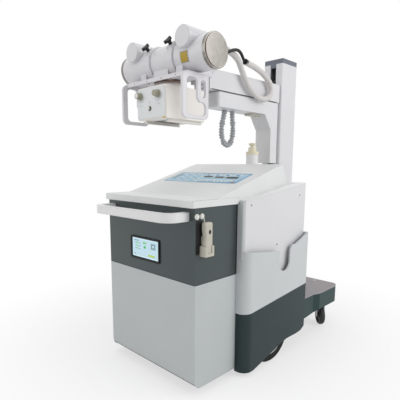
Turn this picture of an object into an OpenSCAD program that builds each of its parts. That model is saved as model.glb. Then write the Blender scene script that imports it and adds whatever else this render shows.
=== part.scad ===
// Mobile x-ray machine: a wheeled cabinet with a column, an arm and a tube head.
// Millimetres. +Z is up, +Y points from the push handle to the column, +X is the machine's right side.
// The floor is z = 0. The drive wheels stand near the middle and the casters under the platform in front.

/* [Overall] */
// Distance from the middle to the outside of a side shell
shell_x = 389; // [380:1:400]
// Distance from the middle to the push handle, and from the middle to the platform's front
end_y = 698; // [690:1:720]
// Height of the column cap above the floor
top_z = 1699; // [1690:1:1740]

/* [Cabinet] */
// Half width of the cabinet and its control band
cab_x = 324; // [318:1:330]
// Rear face of the cabinet
cab_y0 = -574; // [-585:1:-570]
// Where the cabinet stops and the side shells begin
cab_y1 = -292; // [-296:1:-288]
// Bottom edge of the cabinet panel
cab_z0 = 38; // [30:1:48]
// Top of the cabinet panel, where the control band begins
band_z0 = 527; // [510:1:545]
// Top of the control band, where the console lip begins
band_z1 = 865; // [855:1:872]
// Sheet thickness of the cabinet and band
cab_t = 3; // [2:0.5:5]
// Radius of the screen bezel's corners
bezel_r = 8; // [4:1:14]
// Width of the screen bezel
bezel_w = 223; // [200:1:240]
// Height of the screen bezel
bezel_h = 114; // [100:1:130]
// Border of the screen bezel
bezel_rim = 8; // [6:1:14]

/* [Console] */
// Half width of the console lip
lip_x = 330; // [327:1:336]
// How far the console lip stands out past the cabinet
lip_out = 19; // [14:1:24]
// Height of the console lip
lip_h = 30; // [26:1:34]
// Wall of the console moulding
console_t = 4; // [3:0.5:6]
// Height of the deck behind the console
deck_z = 951; // [945:1:960]
// Height of the console's highest edge
crest_z = 1052; // [1040:1:1070]
// Half length of the membrane panel
membrane_x = 265; // [240:1:285]
// Width of the membrane panel along the slope
membrane_w = 155; // [130:1:165]

/* [Side shells] */
// Wall of a side shell
shell_t = 8; // [6:0.5:10]
// Width of the cassette pocket
pocket_w = 21; // [16:1:24]
// Floor of the cassette pocket
pocket_z = 430; // [415:1:445]
// Radius of the shell's rear corner
shell_r = 50; // [40:1:55]
// Front end of the side shells
shell_y1 = 269; // [262:1:276]
// Thickness of a side cover
cover_t = 3; // [2:0.5:4]
// Height of the skirt's top edge at the rear
seam_z0 = 328; // [320:1:336]
// Height of the skirt's top edge at the front
seam_z1 = 375; // [365:1:385]

/* [Platform] */
// Half width of the platform's narrow part
plat_x = 372; // [366:1:378]
// Top of the platform
plat_z = 276; // [268:1:285]
// Thickness of the platform's top panel
plat_top_t = 10; // [8:1:14]
// Wall of the platform's skirt
plat_t = 7; // [5:0.5:9]

/* [Wheels] */
// Radius of the drive wheels
wheel_r = 155; // [150:1:160]
// Width of the drive wheels
wheel_w = 58; // [50:1:60]
// Place of the drive axle along the machine
wheel_y = -36; // [-40:1:-30]
// Thickness of the drive tyre
tyre_t = 40; // [32:1:46]
// Radius of the drive axle
axle_r = 14; // [11:0.5:16]
// Clearance round an axle or pin
fit = 0.05; // [0.02:0.01:0.1]
// Radius of the caster wheels
caster_r = 62.5; // [60:0.5:64]
// Width of the caster wheels
caster_w = 32; // [28:1:36]
// Distance from a caster's swivel to its wheel's centre
caster_trail = 35; // [30:1:38]
// Distance of the caster swivels from the middle
caster_x = 289; // [284:1:294]
// Place of the caster swivels along the machine
caster_y = 646; // [640:1:650]

/* [Column and arm] */
// Width of the column from side to side
col_w = 138; // [130:1:146]
// Depth of the column
col_d = 167; // [160:1:172]
// Place of the column's turning axis
col_y = 523.5; // [520:0.5:527]
// Wall of the column
col_t = 8; // [6:0.5:10]
// Width of the slot in the column
slot_w = 42; // [36:1:48]
// Half width of the arm
arm_x = 56; // [52:1:60]
// Underside of the lower arm
arm_z0 = 1351; // [1345:1:1357]
// Underside of the upper arm
arm_z1 = 1432; // [1429:1:1436]
// Top of the upper arm
arm_z2 = 1540; // [1532:1:1548]
// Free end of the upper arm
arm_y0 = -204; // [-210:1:-200]
// Free end of the lower arm
low_arm_y0 = -135; // [-142:1:-128]
// Bottom of the arm's bracket
bracket_z0 = 1061; // [1050:1:1075]

/* [Parking post] */
// Place of the parking post along the machine
post_y = 243; // [240:1:246]
// Radius of the parking post
post_r = 37; // [33:1:40]
// Top of the parking post's tube
post_z = 1111; // [1100:1:1120]

/* [Tube head] */
// Place of the tube's axis along the machine
tube_y = -422; // [-426:1:-418]
// Height of the tube's axis
tube_z = 1525; // [1522:1:1528]
// Radius of the tube housing
tube_r = 74; // [70:1:76]
// Half length of the tube housing
tube_x = 303; // [290:1:315]
// Radius of the lead horns
horn_r = 46; // [42:1:48]
// Height of the lead horns
horn_z = 1587; // [1584:1:1592]
// Distance of the lead horns from the middle
horn_x = 180; // [176:1:186]
// Half width of the collimator box
colli_x = 104; // [100:1:110]
// Bottom of the collimator box
colli_z0 = 1253; // [1248:1:1258]
// Top of the collimator box
colli_z1 = 1399; // [1394:1:1403]
// Place of the handle plates from the middle
grip_x = 215; // [210:1:220]
// Thickness of the handle plates
grip_t = 12; // [9:1:15]

/* [Hidden] */
eps = 0.01;          // overlap that joins solids of one piece
gap = 0.3;           // seam between pieces that lie side by side
sides = [-1, 1];     // left and right
inner_x = shell_x - shell_t - pocket_w;    // outer face of the pocket's inner wall
cover_x = inner_x + 1;                     // outer face of a side cover
tub_x = cover_x - cover_t;                 // inner face of a side cover
floor_z = 60;        // underside of the floor plate
floor_t = 8;         // thickness of the floor plate
deck_plate_z = 160;  // underside of the caster plate
well_x = shell_x - 17 - wheel_w - 12;      // half width of the frame beside the drive wheels
arch_z = 330;        // top of the drive wheel's space
panel_z0 = floor_z + floor_t;              // where the inner frame stands on the floor plate
rear_z = 878;        // top of a side cover at its rear end
front_z = 948;       // top of a side cover at its front end
wheel_x0 = shell_x - 17 - wheel_w;         // inner face of a drive wheel
swivel_top = deck_plate_z - gap;           // top of a caster's swivel plate
turn_dir = [-sin(45), cos(45)];            // direction from caster wheel to swivel, right side
slide_gap = 1;       // running clearance between arm or carriage and column
bearing_r = 66;      // radius of the column's turning flange
plate_t = 12;        // thickness of the frame's upright plates
deck_t = 8;          // thickness of the caster plate
frame_y0 = cab_y1 + 15;                    // rear edge of the side frames and side covers
frame_y1 = shell_y1 - 9;                   // front edge of the side frames
frame_t = 20;        // width of a side frame's rail
step_y = shell_y1 - 10;                    // where the floor plate steps up to the caster plate
return_r = 12;       // corner radius behind a side cover

// A plate outline in the YZ plane, made solid from x0 to x0 + t
module side_plate(x0, t) {
    translate([x0, 0, 0]) rotate([90, 0, 90]) linear_extrude(t) children();
}

// A box from its lowest to its highest corner
module span_box(a, b) {
    translate(a) cube([b[0] - a[0], b[1] - a[1], b[2] - a[2]]);
}

// Rectangle from corner a to corner b with rounded corners, in plan
module round_rect(a, b, r, n = 40) {
    union() {
        translate([a[0] + r, a[1]]) square([b[0] - a[0] - 2 * r, b[1] - a[1]]);
        translate([a[0], a[1] + r]) square([b[0] - a[0], b[1] - a[1] - 2 * r]);
        for (x = [a[0] + r, b[0] - r], y = [a[1] + r, b[1] - r]) translate([x, y]) circle(r, $fn = n);
    }
}

// Mirrored to the left when side is -1
module on_side(side) {
    mirror([side < 0 ? 1 : 0, 0, 0]) children();
}

// Base frame: floor plate, step up to the caster plate and the upright plates that carry axle and skirts
module base_frame() color("#4c5052") {
    difference() {
        union() {
            span_box([-cab_x + cab_t, cab_y0 + cab_t, floor_z], [cab_x - cab_t, cab_y1 + 40, panel_z0]);
            span_box([-well_x, cab_y1 + 40 - eps, floor_z], [well_x, step_y, panel_z0]);
            span_box([-well_x, step_y - deck_t, floor_z], [well_x, step_y, deck_plate_z + deck_t]);
            for (s = sides) on_side(s)
                for (y = [[frame_y0, frame_y0 + plate_t], [wheel_y - 50, wheel_y + 50], [step_y - deck_t, step_y]])
                    span_box([well_x - plate_t, y[0], panel_z0 - eps], [well_x, y[1], arch_z]);
        }
        translate([0, wheel_y, wheel_r]) rotate([0, 90, 0]) cylinder(h = 900, r = axle_r, center = true, $fn = 48);
    }
}

// Side frames that carry shells, covers and console, on ledges over the drive wheels, with two cross rails
module side_frames() color("#4c5052")
    union() {
        for (s = sides) on_side(s) {
            side_plate(tub_x - frame_t, frame_t) side_frame_2d();
            span_box([well_x - plate_t, frame_y0, arch_z], [tub_x, frame_y1, arch_z + 10]);
        }
        span_box([-tub_x + frame_t - eps, frame_y0, 700], [tub_x - frame_t + eps, frame_y0 + 30, 730]);
        span_box([-tub_x + frame_t - eps, shell_y1 - 40, deck_z - 80], [tub_x - frame_t + eps, shell_y1 - 10, deck_z - 35]);
    }

// Caster deck: plate under the platform with two ribs and the seat of the column's turning flange
module caster_deck() color("#4c5052")
    difference() {
        union() {
            translate([0, 0, deck_plate_z]) linear_extrude(deck_t) intersection() {
                platform_plan(plat_t + 9);
                translate([-shell_x, step_y]) square([2 * shell_x, end_y - step_y - plat_t - 26]);
            }
            for (x = [-190, 180])
                span_box([x, step_y, deck_plate_z + deck_t - eps], [x + 10, end_y - 80, plat_z - plat_top_t]);
            translate([0, col_y, deck_plate_z + deck_t - eps])
                cylinder(h = plat_z - deck_plate_z - deck_t, r = bearing_r + 8, $fn = 64);
        }
        for (s = sides) translate([s * caster_x, caster_y, deck_plate_z - 1])
            cylinder(h = deck_t + 2, r = 8 + fit, $fn = 32);
        translate([0, col_y, plat_z - 14]) cylinder(h = 20, r = 30 + fit, $fn = 48);
    }

// Outline of the side frame: a plate over the wheel's space with two windows that lighten it
module side_frame_2d() {
    difference() {
        polygon([[frame_y0, arch_z], [frame_y1, arch_z], [frame_y1, front_z - 14], [frame_y0, rear_z - 20]]);
        round_rect([cab_y1 + 40, arch_z + 40], [-60, rear_z - 60], 30);
        round_rect([-20, arch_z + 40], [shell_y1 - 45, rear_z - 40], 30);
    }
}

// Fixed axle that both drive wheels turn on
module drive_axle() color("#8c9094")
    translate([0, wheel_y, wheel_r]) rotate([0, 90, 0])
        cylinder(h = 2 * (wheel_x0 + wheel_w) - 8, r = axle_r, center = true, $fn = 48);

// Batteries and high-voltage generator as one block on the floor plate
module generator_block() color("#5d6163")
    span_box([-170, 45, panel_z0], [170, 240, 380]);

// Outline of the platform in plan, inset by d
module platform_plan(d) {
    r = 40 - d;
    polygon(concat([[-plat_x + d, shell_y1], [-plat_x + d, 405], [-shell_x + d, 452]],
        [for (a = [180:-15:90]) [-shell_x + 40 + r * cos(a), end_y - 40 + r * sin(a)]],
        [for (a = [90:-15:0]) [shell_x - 40 + r * cos(a), end_y - 40 + r * sin(a)]],
        [[shell_x - d, 452], [plat_x - d, 405], [plat_x - d, shell_y1]]));
}

// Dark wall round the platform, higher under the wide part, open below
module platform() color("#3f5552") {
    difference() {
        translate([0, 0, 140]) linear_extrude(plat_z - plat_top_t - 140) platform_plan(0);
        translate([0, 0, 139]) linear_extrude(plat_z) difference() {
            platform_plan(plat_t);
            translate([-500, 0]) square([1000, shell_y1 + plat_t]);
        }
        side_plate(-500, 1000)
            polygon([[shell_y1 - 1, 130], [shell_y1 - 1, 140], [400, 150], [450, 165], [end_y + 9, 165], [end_y + 9, 130]]);
        // room for the frame's ribs and caster plate where they pass the rear wall
        span_box([-plat_x + plat_t, shell_y1 - 1, 130], [plat_x - plat_t, shell_y1 + plat_t + 1, plat_z]);
    }
}

// Grey top panel of the platform, with a rim that stands over the wall
module platform_cover() color("#8f8f92")
    difference() {
        translate([0, 0, plat_z - plat_top_t]) linear_extrude(plat_top_t) platform_plan(0);
        translate([0, col_y, plat_z - plat_top_t - 1]) cylinder(h = plat_top_t + 2, r = bearing_r + 8 + gap, $fn = 64);
    }

// Cabinet panel: one sheet round the rear and both sides, its lower corners rounded seen from the side
module cabinet_panel() color("#b0b4b6")
    intersection() {
        translate([0, 0, cab_z0]) linear_extrude(band_z0 - cab_z0) difference() {
            translate([-cab_x, cab_y0]) square([2 * cab_x, cab_y1 - cab_y0 - gap]);
            translate([-cab_x + cab_t, cab_y0 + cab_t]) square([2 * (cab_x - cab_t), cab_y1 - cab_y0]);
        }
        side_plate(-cab_x - 1, 2 * cab_x + 2) union() {
            translate([cab_y0 - 1, cab_z0 + 40]) square([cab_y1 - cab_y0 + 2, band_z0]);
            translate([cab_y0 + 40, cab_z0 - 1]) square([cab_y1 - cab_y0, 60]);
            translate([cab_y0 + 40, cab_z0 + 40]) circle(40, $fn = 48);
        }
    }

// Control band above the cabinet panel, with the screen's opening and the holes of the push handle
module control_band() color("#565e60")
    difference() {
        translate([0, 0, band_z0]) linear_extrude(band_z1 - band_z0) difference() {
            translate([-cab_x, cab_y0]) square([2 * cab_x, cab_y1 - cab_y0 - gap]);
            translate([-cab_x + cab_t, cab_y0 + cab_t]) square([2 * (cab_x - cab_t), cab_y1 - cab_y0]);
        }
        span_box([screen_x - bezel_w / 2 + bezel_lap, cab_y0 - 1, screen_z - bezel_h / 2 + bezel_lap],
            [screen_x + bezel_w / 2 - bezel_lap, cab_y0 + cab_t + 1, screen_z + bezel_h / 2 - bezel_lap]);
    }
screen_x = -18.5;    // middle of the screen, to the left of the machine's middle
screen_z = 640;      // height of the screen's middle
bezel_lap = 4;       // how far the bezel lies on the band
glass_t = 4;         // thickness of the screen glass

// Frame of the screen, seated on the band
module screen_bezel() color("#2c3032")
    translate([0, cab_y0, 0]) rotate([90, 0, 0]) linear_extrude(6) difference() {
        round_rect([screen_x - bezel_w / 2, screen_z - bezel_h / 2],
            [screen_x + bezel_w / 2, screen_z + bezel_h / 2], bezel_r);
        round_rect([screen_x - bezel_w / 2 + bezel_rim, screen_z - bezel_h / 2 + bezel_rim],
            [screen_x + bezel_w / 2 - bezel_rim, screen_z + bezel_h / 2 - bezel_rim], bezel_r / 2);
    }

// Screen glass, held against the inside of the bezel
module screen_glass() color("#1c2a33")
    span_box([screen_x - bezel_w / 2 + bezel_lap + gap, cab_y0, screen_z - bezel_h / 2 + bezel_lap + gap],
        [screen_x + bezel_w / 2 - bezel_lap - gap, cab_y0 + glass_t, screen_z + bezel_h / 2 - bezel_lap - gap]);

handle_x = 276;      // middle line of the handle's arms
handle_r = 14;       // half thickness of the handle, across
handle_z = 826;      // height of the handle's middle
handle_h = 40;       // height of the handle's section
handle_bend = 65;    // outer radius of the handle's corners

// Push handle: a flat U-shaped bar that ends on the band
module push_handle() color("#e8e8ea")
    translate([0, 0, handle_z - handle_h / 2]) linear_extrude(handle_h) difference() {
        intersection() {
            handle_plan(0);
            translate([-500, cab_y0 - 300]) square([1000, 300]);
        }
        handle_plan(2 * handle_r);
    }

// Plan of the handle's outside, inset by d
module handle_plan(d) {
    x = handle_x + handle_r - d;
    y = -end_y + d;
    r = handle_bend - d;
    union() {
        translate([-x + r, y]) square([2 * (x - r), cab_y0 - y + (d > 0 ? 1 : 0)]);
        translate([-x, y + r]) square([2 * x, cab_y0 - y - r + (d > 0 ? 1 : 0)]);
        for (s = sides) translate([s * (x - r), y + r]) circle(r, $fn = 64);
    }
}

lip_y = cab_y0 - lip_out;       // front edge of the console lip
shelf_y = -440;                 // where the shelf ends and the slope begins
shelf_z = band_z1 + lip_h + 3;  // height of the flat shelf
crest_y = 80;                   // the crest's place
slope = atan((crest_z - shelf_z) / (crest_y - shelf_y));   // angle of the sloping face

// Side outline of the console, inset by d on its outer faces
module console_side(d) {
    polygon([[lip_y + d, band_z1 - 1], [lip_y + d, band_z1 + lip_h - d], [lip_y + 8 + d, shelf_z - d],
        [shelf_y, shelf_z - d], [crest_y - d / 3, crest_z - d], [crest_y + 42 - d, deck_z + 8 - d],
        [crest_y + 60 - d, deck_z - d], [shell_y1 - d, deck_z - d], [shell_y1 - d, front_z - 14],
        [frame_y0, rear_z - 20], [frame_y0, band_z1 - 1]]);
}

// Side outline of the console's shoulders, which stand over the side covers
module shoulder_side() {
    polygon([[frame_y0, rear_z - 20], [frame_y0, rear_z + 3], [crest_y + 60, deck_z], [shell_y1, deck_z],
        [shell_y1, front_z - 14]]);
}

// Console: shelf, slope, crest, shoulders and deck as one hollow moulding, with a lip round the cabinet
module console_top() color("#e6e7e8")
    difference() {
        union() {
            intersection() {
                side_plate(-cab_x, 2 * cab_x) console_side(0);
                span_box([-cab_x, lip_y, band_z1], [cab_x, shell_y1, crest_z + 1]);
            }
            side_plate(-tub_x, 2 * tub_x) shoulder_side();
            // lip round the cabinet
            translate([0, 0, band_z1]) linear_extrude(lip_h)
                round_rect([-lip_x, lip_y], [lip_x, cab_y1 + 14], 8);
        }
        intersection() {
            side_plate(-cab_x + console_t, 2 * (cab_x - console_t)) console_side(console_t);
            span_box([-cab_x, lip_y + console_t, band_z1 - 1], [cab_x, shell_y1 - console_t, crest_z]);
        }
        // the band fits up inside the lip
        span_box([-cab_x + console_t, cab_y0 + console_t, band_z1 - 1],
            [cab_x - console_t, cab_y1 + 15, band_z1 + lip_h]);
        side_plate(-tub_x - 1, 2 * tub_x + 2) under_console();
    }

// Room for the side frames and the front panel under the console
module under_console() {
    polygon([[frame_y0 - eps, band_z0], [shell_y1 + 1, band_z0], [shell_y1 + 1, front_z - 14],
        [frame_y1, front_z - 14], [frame_y0, rear_z - 20], [frame_y0 - eps, rear_z - 20]]);
}

// Control panel on the slope
module membrane_panel() color("#a9c4cf")
    translate([0, shelf_y, shelf_z]) rotate([slope, 0, 0]) translate([0, 205, 0])
        linear_extrude(1.5) round_rect([-membrane_x, 0], [membrane_x, membrane_w], 10);

// Side cover: flat white plate from the pocket's floor up to the console
module side_cover(side) color("#d6d6d8")
    on_side(side) side_plate(cover_x - cover_t, cover_t)
        polygon([[frame_y0, pocket_z], [shell_y1 - 4, pocket_z], [shell_y1 - 4, front_z], [frame_y0, rear_z]]);
module side_cover_left() side_cover(-1);
module side_cover_right() side_cover(1);

// Plan of a side shell with its rounded rear corner, inset by d
module shell_plan(d) {
    x0 = cab_x - 2 - (d > 0 ? 1 : 0);
    union() {
        translate([x0, cab_y1 + d]) square([shell_x - shell_r - x0, shell_y1 - cab_y1 - d + (d > 0 ? 1 : 0)]);
        translate([x0, cab_y1 + shell_r])
            square([shell_x - d - x0, shell_y1 - cab_y1 - shell_r + (d > 0 ? 1 : 0)]);
        intersection() {
            translate([shell_x - shell_r, cab_y1 + shell_r]) circle(shell_r - d, $fn = 64);
            translate([x0, cab_y1]) square([2 * shell_r, 2 * shell_r]);
        }
    }
}

slot_y = 33;      // middle of the pocket's hand slot
slot_r = 50;      // radius of the hand slot's bottom
slot_z = 542;     // height of the hand slot's centre

// Outline of the pocket's outer wall, seen from the side
module pocket_side_2d() {
    difference() {
        polygon(concat([[cab_y1 - 1, seam_z0], [shell_y1 + 1, seam_z1], [shell_y1 + 1, 675]],
            [for (a = [70:20:170]) [124 + 40 * cos(a), 585 + 40 * sin(a)]],
            [[slot_y + slot_r, slot_z], [slot_y - slot_r, slot_z], [slot_y - slot_r, 607], [-133, 620],
            [cab_y1 - 1, 641]]));
        translate([slot_y, slot_z]) circle(slot_r, $fn = 64);
    }
}

// Side shell: outer wall round the cassette pocket, its floor and ends, and the return behind the side cover
module shell(side) color("#c9cacb") on_side(side) union() {
    span_box([cab_x - 2, cab_y1, 600], [cover_x - return_r, cab_y1 + 14, band_z1 - gap]);
    difference() {
        translate([0, 0, 600]) linear_extrude(rear_z - 600)
            round_rect([lip_x + gap, cab_y1], [cover_x, cab_y1 + 2 * return_r + eps], return_r);
        span_box([lip_x, cab_y1 + 14, 599], [cover_x + 1, cab_y1 + 40, rear_z + 1]);
        span_box([lip_x, cab_y1 - 1, 599], [cover_x - return_r - 1, cab_y1 + 15, 650]);
    }
    intersection() {
        side_plate(cab_x - 10, 90) pocket_side_2d();
        union() {
            difference() {
                translate([0, 0, seam_z0 - 5]) linear_extrude(400) shell_plan(0);
                translate([0, 0, seam_z0 - 6]) linear_extrude(402) shell_plan(shell_t);
            }
            // pocket floor, and the ledge that closes the wider rear part
            span_box([cover_x - eps, cab_y1 + 30, pocket_z - 8], [shell_x - shell_t + eps, shell_y1, pocket_z]);
            span_box([cover_x, shell_y1 - shell_t, seam_z1 - 5], [shell_x - shell_t + eps, shell_y1, 700]);
            intersection() {
                translate([0, 0, pocket_z - 8]) linear_extrude(220) shell_plan(1);
                span_box([cover_x, cab_y1, pocket_z - 9], [shell_x, cab_y1 + 30, 700]);
            }
        }
    }
}
module shell_left() shell(-1);
module shell_right() shell(1);

// Dark skirt below the shell, raised at its middle so that the drive wheel shows
module skirt(side) color("#3b4748")
    on_side(side) intersection() {
        side_plate(cab_x - 10, 90)
            polygon([[cab_y1 - 1, seam_z0 - gap], [cab_y1 - 1, 24], [-219, 24], [22, 85], [85, 95], [189, 93],
                [235, 97], [shell_y1 + 1, 116], [shell_y1 + 1, seam_z1 - gap]]);
        union() {
            difference() {
                translate([0, 0, 20]) linear_extrude(400) shell_plan(0);
                translate([0, 0, 19]) linear_extrude(402) shell_plan(skirt_t);
            }
            // stays that fix the skirt to the frame above the wheel and at both ends
            span_box([well_x, shell_y1 - 9, 200], [shell_x - skirt_t + eps, shell_y1, 320]);
            span_box([well_x, cab_y1 + 8, 200], [shell_x - shell_r, cab_y1 + 14, 320]);
        }
    }
skirt_t = 5;         // wall of the skirt
module skirt_left() skirt(-1);
module skirt_right() skirt(1);

// Front closing panel between the side shells, above the platform
module front_panel() color("#d6d6d8")
    difference() {
        span_box([-tub_x + 1, shell_y1 - 9, plat_z + 1], [tub_x - 1, shell_y1 - 4, front_z - 15]);
        for (s = sides) on_side(s) side_plate(well_x - 13, 200)
            translate([shell_y1 - 30, 0]) square([60, 321]);
    }

// Two round plugs on the band's right side
module side_plugs() color("#dcdcda")
    for (y = [-564, -534]) translate([cab_x, y, 828]) rotate([0, 90, 0]) {
        cylinder(h = 4, r = 12.5, $fn = 40);
        cylinder(h = 7, r = 9, $fn = 40);
    }

switch_y = [-541, -497];   // rear and front side of the hand switch
switch_d = 28;             // depth of the hand switch
switch_z0 = 661;           // underside of the hand switch
cup_t = 4;                 // wall of the hand switch's holder
cup_h = 40;                // height of the holder's walls

// Holder of the hand switch on the band's right side: back plate and a cup open at its front corner
module switch_holder() color("#b9b5a6")
    difference() {
        union() {
            span_box([cab_x, switch_y[0] - cup_t - 1, switch_z0 - cup_t - 2],
                [cab_x + switch_d + 8, switch_y[1] + cup_t + 1, switch_z0 + cup_h]);
            span_box([cab_x, switch_y[0] + 4, switch_z0], [cab_x + 4, switch_y[1] - 4, switch_z0 + 80]);
        }
        span_box([cab_x + 4, switch_y[0] - 1, switch_z0], [cab_x + switch_d + 5, switch_y[1] + 1, switch_z0 + 100]);
        span_box([cab_x + 20, switch_y[0] + 8, switch_z0 + 8], [cab_x + 60, switch_y[1] - 8, switch_z0 + 100]);
    }

// Hand switch standing in its holder
module hand_switch() color("#c8c4b5")
    translate([0, 0, switch_z0]) linear_extrude(142)
        round_rect([cab_x + 4.5, switch_y[0]], [cab_x + 4.5 + switch_d, switch_y[1]], 6);

// Parking post that catches the arm for travel
module park_post() color("#e4e4e4")
    translate([0, post_y, 0]) {
        translate([0, 0, deck_z]) cylinder(h = post_z - deck_z, r = post_r, $fn = 64);
        translate([0, 0, deck_z]) cylinder(h = 5, r = post_r + 6, $fn = 64);
        translate([0, 0, post_z - eps]) cylinder(h = 17, r = post_r + 1.5, $fn = 64);
    }

// Latch stud on the parking post: ring, neck and round head
module park_latch() color("#d8d4c6")
    translate([0, post_y, post_z + 17]) rotate_extrude($fn = 64)
        polygon(concat([[0, 0], [25, 0], [25, 26], [13, 26], [13, 36]],
            [for (a = [-30:15:90]) [24 * cos(a), 45 + 9 * sin(a)]]));

// Rubber tyre of a drive wheel, with rounded shoulders
module tyre(side) color("#26282a")
    translate([side * (wheel_x0 + wheel_w / 2), wheel_y, wheel_r]) rotate([0, 90, 0]) rotate_extrude($fn = 96)
        polygon([[wheel_r - tyre_t, -wheel_w / 2], [wheel_r - 8, -wheel_w / 2], [wheel_r, -wheel_w / 2 + 10],
            [wheel_r, wheel_w / 2 - 10], [wheel_r - 8, wheel_w / 2], [wheel_r - tyre_t, wheel_w / 2]]);
module tyre_left() tyre(-1);
module tyre_right() tyre(1);

// Rim of a drive wheel: dished disc with a hub that turns on the axle
module rim(side) color("#b9bcbe")
    translate([side * (wheel_x0 + wheel_w / 2), wheel_y, wheel_r]) rotate([0, side * 90, 0])
        rotate_extrude($fn = 96)
            polygon([[axle_r + fit, -wheel_w / 2 + 2], [34, -wheel_w / 2 + 2], [38, -6], [wheel_r - tyre_t - 16, -6],
                [wheel_r - tyre_t - 8, -wheel_w / 2 + 2], [wheel_r - tyre_t, -wheel_w / 2 + 2],
                [wheel_r - tyre_t, wheel_w / 2 - 2], [wheel_r - tyre_t - 8, wheel_w / 2 - 2],
                [wheel_r - tyre_t - 16, 6], [38, 6], [30, wheel_w / 2 - 8], [axle_r + fit, wheel_w / 2 - 8]]);
module rim_left() rim(-1);
module rim_right() rim(1);

// Centre of a caster wheel
function caster_at(side) = [side * (caster_x - caster_trail * turn_dir[0]),
    caster_y - caster_trail * turn_dir[1], caster_r];
fork_gap = 4;        // space between a caster's wheel and each fork leg
fork_t = 5;          // thickness of a fork leg
pin_r = 6;           // radius of a caster's axle pin

// Caster fork: crown with its swivel stem, two legs and the axle pin
module caster_fork(side) color("#6d7174") {
    c = caster_at(side);
    half = caster_w / 2 + fork_gap;
    union() {
        translate([side * caster_x, caster_y, swivel_top - 18]) cylinder(h = 18, r = 30, $fn = 48);
        translate([side * caster_x, caster_y, swivel_top - eps]) cylinder(h = 7, r = 8, $fn = 32);
        translate([c[0], c[1], 0]) rotate([0, 0, side * 45]) {
            span_box([-half - fork_t, -14, 2 * caster_r + 5], [half + fork_t, caster_trail + 20, swivel_top - 10]);
            for (s = sides) on_side(s) side_plate(half, fork_t) union() {
                polygon([[-14, caster_r], [14, caster_r], [caster_trail + 20, 2 * caster_r + 6],
                    [-14, 2 * caster_r + 6]]);
                translate([0, caster_r]) circle(14, $fn = 32);
            }
            translate([0, 0, caster_r]) rotate([0, 90, 0])
                cylinder(h = 2 * (half + fork_t), r = pin_r, center = true, $fn = 32);
        }
    }
}
module caster_fork_left() caster_fork(-1);
module caster_fork_right() caster_fork(1);

// Caster wheel: hub, web and tyre turned as one profile
module caster_wheel(side) color("#3a3c3e") {
    c = caster_at(side);
    translate(c) rotate([0, 0, side * 45]) rotate([0, 90, 0]) rotate_extrude($fn = 72)
        polygon([[pin_r + fit, -caster_w / 2], [16, -caster_w / 2], [18, -8], [caster_r - 16, -8],
            [caster_r - 14, -caster_w / 2], [caster_r - 6, -caster_w / 2], [caster_r, -caster_w / 2 + 7],
            [caster_r, caster_w / 2 - 7], [caster_r - 6, caster_w / 2], [caster_r - 14, caster_w / 2],
            [caster_r - 16, 8], [18, 8], [16, caster_w / 2], [pin_r + fit, caster_w / 2]]);
}
module caster_wheel_left() caster_wheel(-1);
module caster_wheel_right() caster_wheel(1);

cap_h = 28;          // height of the column cap
car_z1 = 1570;       // top of the carriage
foot_z = plat_z + 1; // underside of the column's foot

// Square column with a slot towards the arm, on a turning flange with a spigot
module column() color("#dad9db")
    translate([0, col_y, 0]) union() {
        difference() {
            translate([0, 0, foot_z]) linear_extrude(top_z - cap_h - foot_z)
                round_rect([-col_w / 2, -col_d / 2], [col_w / 2, col_d / 2], 10);
            translate([0, 0, foot_z + 20]) linear_extrude(top_z)
                square([col_w - 2 * col_t, col_d - 2 * col_t], center = true);
            translate([-slot_w / 2, -col_d, foot_z + 60]) cube([slot_w, col_d, top_z]);
        }
        translate([0, 0, foot_z]) cylinder(h = 12, r = bearing_r, $fn = 64);
        translate([0, 0, plat_z - 12]) cylinder(h = 14, r = 30, $fn = 48);
    }

// Cap on the column, with a tab over the end of the slot
module column_cap() color("#666a74")
    translate([0, col_y, 0]) union() {
        translate([0, 0, top_z - cap_h]) linear_extrude(cap_h)
            round_rect([-col_w / 2, -col_d / 2], [col_w / 2, col_d / 2], 10);
        span_box([-slot_w / 2 + 2, -col_d / 2, top_z - cap_h - 22], [slot_w / 2 - 2, -col_d / 2 + col_t, top_z - cap_h + eps]);
    }

col_face = col_y - col_d / 2;         // the column's slotted face
run_y = col_face - slide_gap - 4;     // rear face of the arm, in front of the slotted face

// Carriage inside the column, with the neck that passes the slot
module carriage() color("#2f3133")
    union() {
        span_box([-col_w / 2 + col_t + 1, col_face + col_t + 1, 1080], [col_w / 2 - col_t - 1, col_face + 60, car_z1]);
        span_box([-slot_w / 2 + 2, run_y, 1090], [slot_w / 2 - 2, col_face + col_t + 2, car_z1]);
    }

// Lower arm with the bracket that hangs beside the column
module arm_beam() color("#dad9db")
    difference() {
        union() {
            intersection() {
                side_plate(-arm_x, 2 * arm_x) polygon([[low_arm_y0, arm_z0], [285, arm_z0], [350, arm_z0 - 88],
                    [350, bracket_z0], [run_y, bracket_z0], [run_y, arm_z1 - 5], [low_arm_y0, arm_z1 - 5]]);
                translate([0, 0, bracket_z0 - 1]) linear_extrude(600)
                    round_rect([-arm_x, low_arm_y0], [arm_x, run_y], 20);
            }
            span_box([-arm_x + 8, low_arm_y0 + 12, arm_z1 - 6], [arm_x - 8, run_y, arm_z1]);
        }
        // the beam is a hollow casting
        span_box([-arm_x + 8, low_arm_y0 + 25, arm_z0 + 8], [arm_x - 8, run_y - 12, arm_z1 - 12]);
        span_box([-arm_x + 8, 358, bracket_z0 + 10], [arm_x - 8, run_y - 12, arm_z0 + 9]);
    }

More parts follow.
